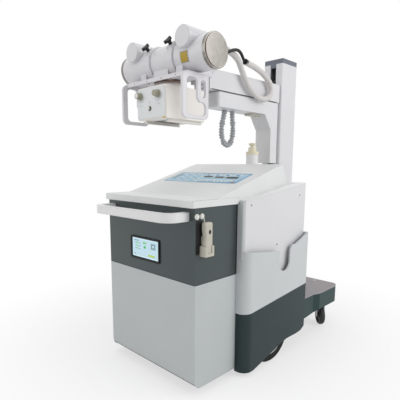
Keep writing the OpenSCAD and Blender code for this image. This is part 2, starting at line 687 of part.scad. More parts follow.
// Upper arm housing, with a bevelled free end
module upper_arm() color("#d2d2d5")
    difference() {
        side_plate(-arm_x, 2 * arm_x) polygon([[arm_y0, arm_z1], [run_y, arm_z1], [run_y, arm_z2 - 8],
            [run_y - 10, arm_z2], [arm_y0 + 51, arm_z2 - 8], [arm_y0, arm_z2 - 50]]);
        side_plate(-arm_x + 7, 2 * (arm_x - 7)) polygon([[arm_y0 + 60, arm_z1 + 7], [run_y - 9, arm_z1 + 7],
            [run_y - 9, arm_z2 - 15], [arm_y0 + 60, arm_z2 - 15]]);
    }

// Catch pad under the arm that meets the parking post
module catch_pad() color("#d3ccb8")
    translate([0, 0, arm_z0 - 11]) linear_extrude(11)
        round_rect([-pad_x, post_y - 52], [pad_x, post_y + 40], 8);
pad_x = 30;          // half width of the catch pad

roll_z = 1485;       // height of the head's roll axis
yoke_y = arm_y0 - 1;   // the yoke's turning face
clamp_x = 80;        // place of the clamp rings
clamp_w = 40;        // width of a clamp ring
clamp_t = 8;         // thickness of a clamp ring
pivot_gap = 0.3;     // clearance between clamp rings and tube housing
knob_tilt = 51;      // lean of the clamp knobs to the rear, from upright

// Yoke: turning disc, neck and two rings round the tube
module yoke() color("#d4d4d6")
    difference() {
        union() {
            translate([0, yoke_y, roll_z]) rotate([90, 0, 0]) cylinder(h = 22, r = 46, $fn = 64);
            span_box([-40, yoke_y - 40, roll_z - 30], [40, yoke_y - 12, roll_z + 50]);
            span_box([-clamp_x - clamp_w / 2, tube_y + tube_r + 6, roll_z - 12], [clamp_x + clamp_w / 2, yoke_y - 30, roll_z + 62]);
            for (s = sides) translate([s * clamp_x, tube_y, tube_z]) rotate([0, 90, 0])
                cylinder(h = clamp_w, r = tube_r + clamp_t, center = true, $fn = 72);
            // lugs that the knobs tighten
            for (s = sides) translate([s * clamp_x, tube_y, tube_z]) rotate([knob_tilt, 0, 0])
                span_box([-clamp_w / 2, -16, tube_r], [clamp_w / 2, 16, tube_r + clamp_t + 4]);
        }
        translate([0, tube_y, tube_z]) rotate([0, 90, 0])
            cylinder(h = 500, r = tube_r + pivot_gap, center = true, $fn = 72);
    }

// Knobs on the clamp rings, each with three lobes
module clamp_knobs() color("#1d1e20")
    for (s = sides) translate([s * clamp_x, tube_y, tube_z]) rotate([knob_tilt, 0, 0])
        translate([0, 0, tube_r + clamp_t + 4]) {
            cylinder(h = 14, r = 8, $fn = 32);
            translate([0, 0, 13]) linear_extrude(12) union() {
                circle(12, $fn = 36);
                for (a = [90, 210, 330]) rotate(a) translate([14, 0]) circle(8, $fn = 24);
            }
        }

// Tube housing with the two lead horns behind and above it
module tube_housing() color("#d5d4d8")
    union() {
        translate([0, tube_y, tube_z]) rotate([0, 90, 0]) cylinder(h = 2 * (tube_x - 22), r = tube_r, center = true, $fn = 72);
        for (s = sides) {
            translate([s * horn_x, horn_y1, horn_z]) rotate([90, 0, 0]) rotate_extrude($fn = 56)
                polygon([[0, 0], [horn_r, 0], [horn_r, horn_l - 4], [horn_r - 1.2, horn_l - 1.2],
                    [horn_r - 4, horn_l], [0, horn_l]]);
        }
        for (x = [[-150, -108], [-52, 52], [108, 150]])
            span_box([x[0], tube_y - 60, cradle_z1], [x[1], tube_y + 42, tube_z - 40]);
    }
horn_y1 = -345;      // front end of the lead horns
horn_l = 170;        // length of the lead horns
cradle_z0 = 1435;    // underside of the cradle plate
cradle_z1 = 1441;    // top of the cradle plate
cradle_y0 = -523;    // rear edge of the cradle plate

// End bands and end discs of the tube housing
module tube_caps() color("#c9c8c8")
    for (s = sides) on_side(s) translate([tube_x - 22, tube_y, tube_z]) rotate([0, 90, 0]) {
        cylinder(h = 16, r = tube_r + 1, $fn = 72);
        translate([0, 0, 16 - eps]) cylinder(h = 6, r = tube_r - 7, $fn = 72);
    }

turn_r = 74;         // radius of the collimator's turntable
turn_t = 14;         // thickness of the turntable's fixed half
colli_y0 = -540;     // rear of the collimator box, towards the handle
colli_y1 = -287;     // front of the collimator box
panel_t = 4;         // thickness of the collimator's front panel
rail_x = 86;         // outer side of the accessory rails
knob_slot_x = 54;    // width of the cradle's slot for a clamp knob
knob_slot_y = [83, 40];  // the slot's two ends, behind the tube's axis

// Cradle plate under the tube with a flange along its rear edge and the fixed half of the turntable
module cradle() color("#d4d4d6")
    union() {
        difference() {
            span_box([-grip_x - grip_t / 2, cradle_y0, cradle_z0], [grip_x + grip_t / 2, -380, cradle_z1]);
            // slots that the clamp knobs pass through when the head tips to face the rear
            for (s = sides)
                span_box([s * clamp_x - knob_slot_x / 2, tube_y - knob_slot_y[0], cradle_z0 - 1],
                    [s * clamp_x + knob_slot_x / 2, tube_y - knob_slot_y[1], cradle_z1 + 1]);
        }
        span_box([-grip_x + grip_t / 2 + gap, cradle_y0, cradle_z0 - 12], [grip_x - grip_t / 2 - gap, cradle_y0 + 4, cradle_z1]);
        translate([0, tube_y, cradle_z0 - turn_t]) cylinder(h = turn_t + eps, r = turn_r, $fn = 64);
    }

grip_y = [-548, -388];     // rear and front edge of a handle plate
grip_z0 = 1245;            // bottom edge of a handle plate
grip_r = 26;               // radius of a handle plate's corners
slot_in = 26;              // rim between a handle plate's edge and its openings
low_z = 1318;              // top of the opening's low part
sweep_r = 28;              // radius of the opening's inner sweep

// Outline of a handle plate, seen from the side: an opening that sweeps from a slot to a wide low part,
// and a slim slot beside it
module grip_2d() {
    slot_w1 = grip_y[0] + slot_in + 64;
    difference() {
        union() {
            round_rect([grip_y[0], grip_z0], [grip_y[1], cradle_z0], grip_r);
            translate([-430, cradle_z0 - grip_r - 1]) square([grip_y[1] + 430, grip_r + 1]);
        }
        round_rect([grip_y[0] + slot_in, grip_z0 + 16], [slot_w1, cradle_z0 - 16], 20);
        round_rect([grip_y[0] + slot_in, grip_z0 + 16], [grip_y[1] - 16, low_z], 22);
        difference() {
            translate([slot_w1 - 1, low_z - 23]) square([sweep_r + 1, sweep_r + 23]);
            translate([slot_w1 + sweep_r, low_z + sweep_r]) circle(sweep_r, $fn = 64);
        }
        round_rect([-437, low_z + 20], [-407, cradle_z0 - 22], 14);
    }
}

// Handle plate beside the collimator
module grip(side) color("#cfcfd0") on_side(side) side_plate(grip_x - grip_t / 2, grip_t) grip_2d();
module grip_left() grip(-1);
module grip_right() grip(1);

// Collimator box with its turntable ring, beam window frame and accessory rails
module collimator() color("#dad8d2")
    difference() {
        union() {
            translate([0, 0, colli_z0]) linear_extrude(colli_z1 - colli_z0)
                round_rect([-colli_x, colli_y0], [colli_x, colli_y1], 10);
            translate([0, tube_y, colli_z1 - eps])
                cylinder(h = cradle_z0 - turn_t - slide_gap - colli_z1, r = turn_r - 6, $fn = 64);
            for (s = sides) on_side(s) {
                span_box([rail_x - 12, -509, 1240], [rail_x, -294, colli_z0 + eps]);
                span_box([rail_x - 20, -509, 1240], [rail_x, -294, 1243]);
            }
        }
        span_box([-50, tube_y - 50, colli_z0 - 1], [50, tube_y + 50, colli_z0 + 12]);
    }

// Front panel of the collimator
module collimator_panel() color("#e2e0da")
    translate([0, colli_y0, 0]) rotate([90, 0, 0]) linear_extrude(panel_t)
        round_rect([-colli_x + 6, colli_z0 + 6], [colli_x - 6, colli_z1 - 6], 8);

// Two setting knobs and the lamp button on the collimator panel
module collimator_knobs() color("#d2c8ae")
    for (k = [[-74, 1362, 17, 26], [55, 1362, 17, 26], [-6, 1302, 8, 9]])   // x, z, radius, length
        translate([k[0], colli_y0 - panel_t, k[1]]) rotate([90, 0, 0]) {
            cylinder(h = k[3] / 3, r = k[2], $fn = 40);
            cylinder(h = k[3], r = k[2] * 0.78, $fn = 40);
        }

// Tube swept along a route of points, with n sides; x is a direction that the route never takes
function unit(v) = v / norm(v);
function route_dir(p, i) = unit(p[min(i + 1, len(p) - 1)] - p[max(i - 1, 0)]);
function ring_at(p, i, r, n, x) = let(d = route_dir(p, i), u = unit(cross(d, x)), w = cross(d, u))
    [for (k = [0:n - 1]) p[i] + r * (cos(360 * k / n) * u + sin(360 * k / n) * w)];
module swept(p, r, n, x) {
    rings = [for (i = [0:len(p) - 1]) each ring_at(p, i, r, n, x)];
    last = (len(p) - 1) * n;
    polyhedron(rings, concat([[for (k = [n - 1:-1:0]) k]], [[for (k = [0:n - 1]) last + k]],
        [for (i = [0:len(p) - 2], k = [0:n - 1])
            [i * n + k, i * n + (k + 1) % n, (i + 1) * n + (k + 1) % n, (i + 1) * n + k]]));
}

lower_hose_x = -20;  // place of the lower hose across the arm
lower_hose_r = 18;   // radius of the lower hose
upper_hose_r = 16;   // radius of the upper hose
lead_r = 9;          // radius of the leads

// Lower hose: a loop that hangs under the lower arm, route as [y, z]
lower_route = [[0, arm_z0], [0, 1342], [-6, 1318], [-15, 1288], [-22, 1255], [-22, 1222], [-13, 1190], [4, 1168],
    [27, 1160], [50, 1168], [66, 1190], [75, 1222], [77, 1255], [74, 1288], [70, 1318], [68, 1342], [68, arm_z0]];
module lower_hose() color("#8a8c8e")
    swept([for (q = lower_route) [lower_hose_x, q[0], q[1]]], lower_hose_r, 12, [1, 0, 0]);

// Upper hose: from the yoke's top, back over the arm and down beside it in a loop, with the lead that leaves
// its other end and goes back to the yoke's side, routes as [x, y, z]
upper_route = [[58, -290, 1547], [58, -290, 1560], [59, -287, 1585], [63, -270, 1612], [70, -235, 1631],
    [76, -190, 1638], [79, -145, 1637], [80, -105, 1632], [80, -52, 1621], [80, -12, 1600], [81, 12, 1568], [83, 38, 1528],
    [84, 72, 1489], [84, 118, 1454], [84, 168, 1432], [84, 218, 1426], [84, 262, 1437], [84, 292, 1461],
    [83, 302, 1494], [82, 286, 1526], [81, 247, 1553], [81, 197, 1574], [81, 143, 1588], [82, 90, 1596],
    [84, 45, 1600]];
elbow_route = [[84, 47, 1600], [86, 34, 1603], [92, 14, 1616], [99, -12, 1631], [106, -45, 1637], [112, -90, 1628],
    [117, -145, 1604], [120, -200, 1577], [119, -240, 1552], [112, -262, 1537], [102, -270, 1532], [100, -270, 1532]];
module upper_hose() color("#7e8082") {
    swept(upper_route, upper_hose_r, 12, [1, 0, 0]);
    swept(elbow_route, lead_r - 1, 12, [1, 0, 1]);
}

// High-voltage leads from the horns to the yoke's top, route for the right side
lead_route = [[180, horn_y1, horn_z], [180, horn_y1 + 10, horn_z], [177, -318, 1588], [166, -302, 1588],
    [148, -294, 1586], [126, -291, 1581], [106, -291, 1572], [93, -291, 1560], [88, -291, 1552], [88, -291, 1547]];
module hv_leads() color("#232527")
    for (s = sides) on_side(s) swept(lead_route, lead_r, 12, [1, 1, 1]);

base_frame();
side_frames();
caster_deck();
drive_axle();
generator_block();
platform();
platform_cover();
cabinet_panel();
control_band();
screen_bezel();
screen_glass();
push_handle();
console_top();
membrane_panel();
side_cover_left();
side_cover_right();
shell_left();
shell_right();
skirt_left();
skirt_right();
front_panel();
side_plugs();
switch_holder();
hand_switch();
park_post();
park_latch();
tyre_left();
tyre_right();
rim_left();
rim_right();
caster_fork_left();
caster_fork_right();
caster_wheel_left();
caster_wheel_right();
column();
column_cap();
carriage();
arm_beam();
upper_arm();
catch_pad();
lower_hose();
yoke();
clamp_knobs();
tube_housing();
tube_caps();
cradle();
grip_left();
grip_right();
collimator();
collimator_panel();
collimator_knobs();
upper_hose();
hv_leads();
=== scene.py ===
import math

import bpy
import numpy as np
from mathutils import Matrix, Vector


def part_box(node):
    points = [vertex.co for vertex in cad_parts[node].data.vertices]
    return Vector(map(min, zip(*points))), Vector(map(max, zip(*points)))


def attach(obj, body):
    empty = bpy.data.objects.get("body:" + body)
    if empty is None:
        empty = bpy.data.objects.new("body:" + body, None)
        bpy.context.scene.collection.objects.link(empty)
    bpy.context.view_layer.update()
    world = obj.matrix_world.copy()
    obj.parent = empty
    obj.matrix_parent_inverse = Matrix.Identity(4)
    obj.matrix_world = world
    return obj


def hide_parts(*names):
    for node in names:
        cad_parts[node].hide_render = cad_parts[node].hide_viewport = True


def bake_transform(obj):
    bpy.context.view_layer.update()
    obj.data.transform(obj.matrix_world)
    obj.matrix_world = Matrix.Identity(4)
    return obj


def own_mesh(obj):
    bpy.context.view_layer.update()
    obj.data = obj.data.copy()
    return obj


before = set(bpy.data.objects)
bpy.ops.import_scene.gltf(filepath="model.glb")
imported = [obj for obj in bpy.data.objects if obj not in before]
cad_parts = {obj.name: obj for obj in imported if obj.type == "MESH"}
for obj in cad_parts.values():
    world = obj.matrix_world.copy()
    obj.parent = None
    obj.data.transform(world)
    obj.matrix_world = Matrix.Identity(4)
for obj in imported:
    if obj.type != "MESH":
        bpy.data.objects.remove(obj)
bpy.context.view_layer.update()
print("frame loaded:", len(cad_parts), "nodes")


# Camera, light and floor

camera = {
    "place": (1.460, -1.708, 1.039),
    "turn": 44.31,  # degrees from +Y towards -X
    "tilt": -8.98,  # degrees, down is negative
    "roll": 0.32,  # degrees
    "lens": 34.79, "sensor": 36,  # mm
    "shift": 0.0682,
}
light = {
    "world": 0.56,
    "lamps": {"key": {"place": (3.7, 1.3, 2.5), "size": 2.6, "power": 66},
              "left": {"place": (-1.6, -4.2, 2.4), "size": 3.0, "power": 36},
              "top": {"place": (0.2, -0.9, 4.4), "size": 3.0, "power": 30}},
    "aim": (0, 0, 0.8),
}
floorPlan = {
    "color": "#F4F4F4", "half": 14.0,
    "fade": (0.55, 1.9),  # metres from the middle where the shadow starts to fade and is gone
    "white": 0.62,  # share of plain white that the floor shows under the machine
}


def toLinear(code):
    # sRGB hex to linear: c / 12.92 below 0.04045, else ((c + 0.055) / 1.055) ^ 2.4
    c = np.array([int(code[i:i + 2], 16) / 255 for i in (1, 3, 5)])
    low = c <= 0.04045
    return tuple(np.where(low, c / 12.92, ((c + 0.055) / 1.055) ** 2.4)) + (1.0,)


def addNode(tree, kind, inputs=None, **settings):
    # One shader node with its settings; an input is a value or another node's output
    node = tree.nodes.new("ShaderNode" + kind)
    for key, value in settings.items():
        setattr(node, key, value)
    for key, value in (inputs or {}).items():
        socket = node.inputs[key]
        if isinstance(value, bpy.types.NodeSocket):
            tree.links.new(value, socket)
        else:
            socket.default_value = value
    return node


def emptyMaterial(name):
    material = bpy.data.materials.new(name)
    material.use_nodes = True
    material.node_tree.nodes.clear()
    return material, material.node_tree


def setCamera():
    data = bpy.data.cameras.new("camera")
    data.lens, data.sensor_width, data.sensor_fit = camera["lens"], camera["sensor"], "HORIZONTAL"
    data.shift_y = camera["shift"]
    holder = bpy.data.objects.new("camera", data)
    # tilted up from straight down, turned about the upright axis, and rolled about the line of sight
    turn = Matrix.Rotation(math.radians(camera["turn"]), 4, "Z")
    tilt = Matrix.Rotation(math.radians(90 + camera["tilt"]), 4, "X")
    roll = Matrix.Rotation(math.radians(camera["roll"]), 4, "Z")
    holder.matrix_world = Matrix.Translation(camera["place"]) @ turn @ tilt @ roll
    bpy.context.scene.collection.objects.link(holder)
    bpy.context.scene.camera = holder


def seenRay(tree):
    # 1 for what the camera sees, also in a reflection or through glass
    path = addNode(tree, "LightPath")
    seen = path.outputs["Is Camera Ray"]
    for ray in ("Is Glossy Ray", "Is Transmission Ray"):
        seen = addNode(tree, "Math", {0: seen, 1: path.outputs[ray]}, operation="MAXIMUM").outputs[0]
    return seen


def setLight():
    world = bpy.data.worlds.new("studio")
    bpy.context.scene.world = world
    world.use_nodes = True
    tree = world.node_tree
    tree.nodes.clear()
    strength = addNode(tree, "MapRange", {"Value": seenRay(tree), "To Min": light["world"], "To Max": 1.0})
    back = addNode(tree, "Background", {"Color": (1, 1, 1, 1), "Strength": strength.outputs[0]})
    addNode(tree, "OutputWorld", {"Surface": back.outputs[0]})
    for name, plan in light["lamps"].items():
        lamp = bpy.data.lights.new(name, "AREA")
        lamp.size, lamp.energy = plan["size"], plan["power"]
        holder = bpy.data.objects.new(name, lamp)
        holder.location = plan["place"]
        aim = Vector(light["aim"]) - Vector(plan["place"])
        holder.rotation_euler = aim.to_track_quat("-Z", "Y").to_euler()
        bpy.context.scene.collection.objects.link(holder)
    bpy.context.scene.view_settings.view_transform = "Standard"


def setFloor():
    half = floorPlan["half"]
    mesh = bpy.data.meshes.new("floor")
    corners = [(-half, -half, 0), (half, -half, 0), (half, half, 0), (-half, half, 0)]
    mesh.from_pydata(corners, [], [(0, 1, 2, 3)])
    floor = bpy.data.objects.new("floor", mesh)
    bpy.context.scene.collection.objects.link(floor)
    material, tree = emptyMaterial("paleFloor")
    pale = addNode(tree, "BsdfDiffuse", {"Color": toLinear(floorPlan["color"])})
    white = addNode(tree, "Emission", {"Color": (1, 1, 1, 1), "Strength": 1.0})
    # seen, the floor is plain white, and near the machine it keeps a part of its shadow
    place = addNode(tree, "TexCoord").outputs["Object"]
    away = addNode(tree, "VectorMath", {0: place}, operation="LENGTH")
    start, end = floorPlan["fade"]
    clear = addNode(tree, "MapRange", {"Value": away.outputs["Value"], "From Min": start, "From Max": end,
                                       "To Min": floorPlan["white"], "To Max": 1.0},
                    interpolation_type="SMOOTHSTEP")
    share = addNode(tree, "Math", {0: seenRay(tree), 1: clear.outputs[0]}, operation="MULTIPLY")
    both = addNode(tree, "MixShader", {0: share.outputs[0], 1: pale.outputs[0], 2: white.outputs[0]})
    addNode(tree, "OutputMaterial", {"Surface": both.outputs[0]})
    mesh.materials.append(material)


setCamera()
setLight()
setFloor()
print("camera, light and floor are set")


# Finishes. Each pattern is in Object coordinates, in metres, so its scale is 1000 / size in mm.

skinPlan = {
    "drift": 6.0,  # scale of the colour's slow drift, about 170 mm across
    "glossDrift": 0.10,  # how far the roughness follows it
    "bump": 0.6, "metalBump": 0.5,
    "metalEdge": 0.0006,  # metres of a metal corner that catch light
    "corner": 6,  # samples of the rounded corners
    "fleck": 900.0,  # scale of a printed film's fleck, about 1 mm
    "ior": 1.5,
}


def shadePair(color, darker, paler):
    # The colour a little darker and a little paler, both linear
    base = np.array(toLinear(color))[:3]
    return tuple(base * darker) + (1,), tuple(np.minimum(base * paler, 1)) + (1,)


def paintedFinish(name, color, rough=0.42, peel=2.2, lift=0.04, tint=0.012, edge=1.2, metal=0.0,
                  coat=0.0, shine=0.5, split=None):
    # Paint or moulded plastic: peel is the size in mm of its orange peel or mould texture, lift its height
    # in mm, tint how far its colour drifts, edge the radius in mm that its corners catch light on, metal,
    # coat and shine how metallic, lacquered and reflecting it is. split = (height, colour) gives everything
    # above that height another colour.
    material, tree = emptyMaterial(name)
    place = addNode(tree, "TexCoord").outputs["Object"]
    fine = addNode(tree, "TexNoise", {"Vector": place, "Scale": 1000 / peel, "Detail": 3.0, "Roughness": 0.6})
    broad = addNode(tree, "TexNoise", {"Vector": place, "Scale": skinPlan["drift"], "Detail": 2.0})
    dark, pale = shadePair(color, 1 - 3 * tint, 1 + 3 * tint)
    shade = addNode(tree, "Mix", {"Factor": broad.outputs["Fac"], "A": dark, "B": pale}, data_type="RGBA")
    colour = shade.outputs[2]
    if split:
        up = addNode(tree, "SeparateXYZ", {"Vector": place})
        above = addNode(tree, "Math", {0: up.outputs["Z"], 1: split[0]}, operation="GREATER_THAN")
        colour = addNode(tree, "Mix", {"Factor": above.outputs[0], "A": colour, "B": toLinear(split[1])},
                         data_type="RGBA").outputs[2]
    gloss = addNode(tree, "Math", {0: broad.outputs["Fac"], 1: skinPlan["glossDrift"],
                                   2: rough - skinPlan["glossDrift"] / 2}, operation="MULTIPLY_ADD")
    corner = addNode(tree, "Bevel", {"Radius": edge / 1000}, samples=skinPlan["corner"])
    skin = addNode(tree, "Bump", {"Height": fine.outputs["Fac"], "Distance": lift / 1000,
                                  "Strength": skinPlan["bump"], "Normal": corner.outputs[0]})
    shader = addNode(tree, "BsdfPrincipled", {"Base Color": colour, "Roughness": gloss.outputs[0],
                                              "Metallic": metal, "IOR": skinPlan["ior"],
                                              "Specular IOR Level": shine, "Coat Weight": coat,
                                              "Normal": skin.outputs[0]})
    addNode(tree, "OutputMaterial", {"Surface": shader.outputs[0]})
    return material


def brushedFinish(name, color, rough=0.3, stretch=(40, 1, 1), grain=0.5, lift=0.02):
    # Brushed or turned metal: noise stretched along the strokes, grain is a stroke's width in mm
    material, tree = emptyMaterial(name)
    place = addNode(tree, "TexCoord").outputs["Object"]
    scale = tuple(1000 / grain / s for s in stretch)
    strokes = addNode(tree, "Mapping", {"Vector": place, "Scale": scale})
    fine = addNode(tree, "TexNoise", {"Vector": strokes.outputs[0], "Scale": 1.0, "Detail": 2.0})
    dark, pale = shadePair(color, 0.88, 1.08)
    shade = addNode(tree, "Mix", {"Factor": fine.outputs["Fac"], "A": dark, "B": pale}, data_type="RGBA")
    gloss = addNode(tree, "MapRange", {"Value": fine.outputs["Fac"], "To Min": rough - 0.06,
                                       "To Max": rough + 0.1})
    corner = addNode(tree, "Bevel", {"Radius": skinPlan["metalEdge"]}, samples=skinPlan["corner"])
    skin = addNode(tree, "Bump", {"Height": fine.outputs["Fac"], "Distance": lift / 1000,
                                  "Strength": skinPlan["metalBump"], "Normal": corner.outputs[0]})
    shader = addNode(tree, "BsdfPrincipled", {"Base Color": shade.outputs[2], "Roughness": gloss.outputs[0],
                                              "Metallic": 1.0, "Normal": skin.outputs[0]})
    addNode(tree, "OutputMaterial", {"Surface": shader.outputs[0]})
    return material


def glowingFinish(name, color, strength=0.0, rough=0.25):
    # Printed or backlit film: even colour with a faint fleck, and a little light of its own when backlit
    material, tree = emptyMaterial(name)
    place = addNode(tree, "TexCoord").outputs["Object"]
    fleck = addNode(tree, "TexNoise", {"Vector": place, "Scale": skinPlan["fleck"], "Detail": 1.0})
    dark, pale = shadePair(color, 0.96, 1.03)
    shade = addNode(tree, "Mix", {"Factor": fleck.outputs["Fac"], "A": dark, "B": pale}, data_type="RGBA")
    shader = addNode(tree, "BsdfPrincipled", {"Base Color": shade.outputs[2], "Roughness": rough,
                                              "IOR": skinPlan["ior"], "Specular IOR Level": 0.25,
                                              "Emission Color": shade.outputs[2],
                                              "Emission Strength": strength})
    addNode(tree, "OutputMaterial", {"Surface": shader.outputs[0]})
    return material


finishes = {
    # polyester powder coat on sheet steel: fine orange peel, satin
    "cabinetCoat": paintedFinish("powderCoatCabinet", "#BABFC0", rough=0.45),
    "bandCoat": paintedFinish("metallicCoatBand", "#414A4B", rough=0.32, metal=0.35, peel=1.2, coat=0.08),
    "coverCoat": paintedFinish("powderCoatCover", "#D8D8DA", rough=0.5),
    "columnCoat": paintedFinish("powderCoatColumn", "#D8D7DA", rough=0.42),
    "armCoat": paintedFinish("powderCoatArm", "#DADADC", rough=0.42),
    "frameCoat": paintedFinish("powderCoatFrame", "#34393B", rough=0.6, peel=3.0),
    "platformTop": paintedFinish("texturedCoatPlatform", "#989396", rough=0.6, peel=1.4, lift=0.12),
    # moulded ABS: fine spark-eroded texture, soft sheen
    "consoleShell": paintedFinish("mouldedAbsConsole", "#DFE0E0", rough=0.36, peel=0.9, lift=0.02, edge=5),
    "sideShell": paintedFinish("mouldedAbsShell", "#C4C8C9", rough=0.36, peel=0.9, lift=0.02, edge=2.5),
    "skirt": paintedFinish("mouldedAbsSkirt", "#223234", rough=0.45, shine=0.3, peel=1.0, lift=0.04, edge=3),
    "platformSkirt": paintedFinish("mouldedAbsPlatform", "#1F3A38", rough=0.45, shine=0.3, peel=1.0,
                                   lift=0.04, edge=3),
    "armCover": paintedFinish("mouldedAbsArmCover", "#D9D8DB", rough=0.38, peel=0.9, lift=0.02, edge=4),
    "handle": paintedFinish("mouldedAbsHandle", "#E4E4E4", rough=0.34, peel=0.9, lift=0.02, edge=6),
    "grip": paintedFinish("mouldedAbsGrip", "#DAD8DC", rough=0.38, peel=0.9, lift=0.02, edge=3),
    "capPlastic": paintedFinish("mouldedAbsCap", "#666A75", rough=0.5, peel=1.0, edge=2.5),
    "blackPlastic": paintedFinish("mouldedNylonBlack", "#121314", rough=0.5, shine=0.3, peel=0.8, edge=0.8),
    "beigePlastic": paintedFinish("mouldedAbsBeige", "#BFBBAE", rough=0.45, peel=0.8, edge=2),
    "sandPlastic": paintedFinish("mouldedAbsSand", "#9F9C8C", rough=0.5, peel=0.8, edge=1.5),
    "creamPlastic": paintedFinish("turnedAcetalCream", "#E4DDC6", rough=0.35, peel=0.8, edge=1.5),
    "plugPlastic": paintedFinish("mouldedPlugCap", "#E0E0DC", rough=0.35, peel=0.8, edge=1.5),
    "postCoat": paintedFinish("powderCoatPost", "#E4E4E4", rough=0.4, split=(1.1112, "#E2DAC0")),
    # cast and enamelled tube housing
    "tubeEnamel": paintedFinish("enamelTube", "#D6D5D8", rough=0.32, peel=1.6, lift=0.03, edge=2, coat=0.1),
    "tubeFace": paintedFinish("leadPaintTubeFace", "#EADCD5", rough=0.8, peel=9.0, lift=0.03, tint=0.02),
    "collimatorShell": paintedFinish("mouldedAbsCollimator", "#E9E5DF", rough=0.42, peel=0.9, edge=2.5),
    "collimatorFace": paintedFinish("laminateCollimatorFace", "#DDE0E1", rough=0.34, peel=0.8, edge=1),
    # vulcanised rubber: dull, slightly dusty
    "tyreRubber": paintedFinish("vulcanisedTyre", "#171819", rough=0.8, shine=0.3, peel=1.5, lift=0.1,
                                tint=0.04),
    "casterRubber": paintedFinish("mouldedCaster", "#2A2B2D", rough=0.6, peel=1.2, tint=0.03),
    "cable": paintedFinish("cableJacket", "#111213", rough=0.45, shine=0.3, peel=1.0),
    "hose": paintedFinish("corrugatedPolyamideHose", "#D2CFCD", rough=0.5, peel=1.0, tint=0.04),
    "hoseGrey": paintedFinish("corrugatedRubberHose", "#A6A8AB", rough=0.5, peel=1.0, tint=0.05),
    "rimPaint": paintedFinish("paintedRim", "#A9ADAF", rough=0.45),
    "bandSteel": brushedFinish("brushedStainlessBand", "#8E8B86", rough=0.22, stretch=(1, 40, 40), grain=0.6),
    "bareSteel": brushedFinish("zincPlatedSteel", "#9DA0A3", rough=0.35, stretch=(8, 8, 8), grain=1.0),
    "screwSteel": brushedFinish("turnedScrew", "#A09E90", rough=0.35, stretch=(1, 1, 1), grain=0.5),
    # turned bronze-grey ring, darkened by handling: streaks run round it
    "ringMetal": brushedFinish("turnedRingBronze", "#7E6B63", rough=0.32, stretch=(30, 30, 1), grain=0.8),
    "displayGlass": paintedFinish("displayGlassBlack", "#0C0E10", rough=0.12, peel=3.0, lift=0.0),
    "lcd": glowingFinish("backlitDisplay", "#BBD6E2", strength=0.30),
    "lcdPale": glowingFinish("backlitPale", "#CDE6F0", strength=0.35),
    "lcdGreen": glowingFinish("backlitGreen", "#7CCB86", strength=0.20),
    "lcdDeepGreen": glowingFinish("backlitDeepGreen", "#4CBB66", strength=0.20),
    "lcdGrey": glowingFinish("backlitGrey", "#86A2AA", strength=0.15),
    "lcdYellow": glowingFinish("backlitYellow", "#B5D050", strength=0.20),
    "film": glowingFinish("printedFilmBlue", "#8CBAD6"),
    "filmDark": glowingFinish("printedFilmDeepBlue", "#4C83AB"),
    "filmGrey": glowingFinish("printedFilmGrey", "#6C8B95"),
    "filmPale": glowingFinish("printedFilmPale", "#C2DCE2"),
    "filmWhite": glowingFinish("printedFilmWhite", "#DDE9E8"),
    "filmBlack": glowingFinish("printedFilmBlack", "#0E1214", rough=0.45),
    "filmOrange": glowingFinish("printedFilmOrange", "#C0763F"),
    "signYellow": glowingFinish("printedTagYellow", "#D8B948", rough=0.4),
    "signPlate": glowingFinish("printedPlateYellow", "#B59A3C", rough=0.42),
    "scaleInk": glowingFinish("printedScaleInk", "#9A9DA1", rough=0.5),
}

nodeFinish = {
    "base_frame": "frameCoat", "side_frames": "frameCoat", "caster_deck": "frameCoat",
    "generator_block": "frameCoat", "drive_axle": "bareSteel", "platform": "platformSkirt",
    "platform_cover": "platformTop",
    "cabinet_panel": "cabinetCoat", "control_band": "bandCoat", "screen_bezel": "blackPlastic",
    "screen_glass": "displayGlass", "push_handle": "handle", "console_top": "consoleShell",
    "membrane_panel": "film", "side_cover_left": "coverCoat", "side_cover_right": "coverCoat",
    "shell_left": "sideShell", "shell_right": "sideShell", "skirt_left": "skirt", "skirt_right": "skirt",
    "front_panel": "coverCoat", "side_plugs": "plugPlastic", "switch_holder": "beigePlastic",
    "hand_switch": "beigePlastic", "park_post": "postCoat", "park_latch": "creamPlastic",
    "tyre_left": "tyreRubber", "tyre_right": "tyreRubber", "rim_left": "rimPaint", "rim_right": "rimPaint",
    "caster_fork_left": "bareSteel", "caster_fork_right": "bareSteel", "caster_wheel_left": "casterRubber",
    "caster_wheel_right": "casterRubber", "column": "columnCoat", "column_cap": "capPlastic",
    "carriage": "blackPlastic", "arm_beam": "armCoat", "upper_arm": "armCover", "catch_pad": "beigePlastic",
    "lower_hose": "hoseGrey", "yoke": "tubeEnamel", "clamp_knobs": "blackPlastic", "tube_housing": "tubeEnamel",
    "tube_caps": "bandSteel", "cradle": "grip", "grip_left": "grip", "grip_right": "grip",
    "collimator": "collimatorShell", "collimator_panel": "collimatorFace", "collimator_knobs": "sandPlastic",
    "upper_hose": "hose", "hv_leads": "cable",
}


def dressNodes():
    for name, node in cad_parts.items():
        node.data.materials.clear()
        node.data.materials.append(finishes[nodeFinish[name]])


dressNodes()
print("finishes made:", len(finishes))


# Surface makers, all in metres

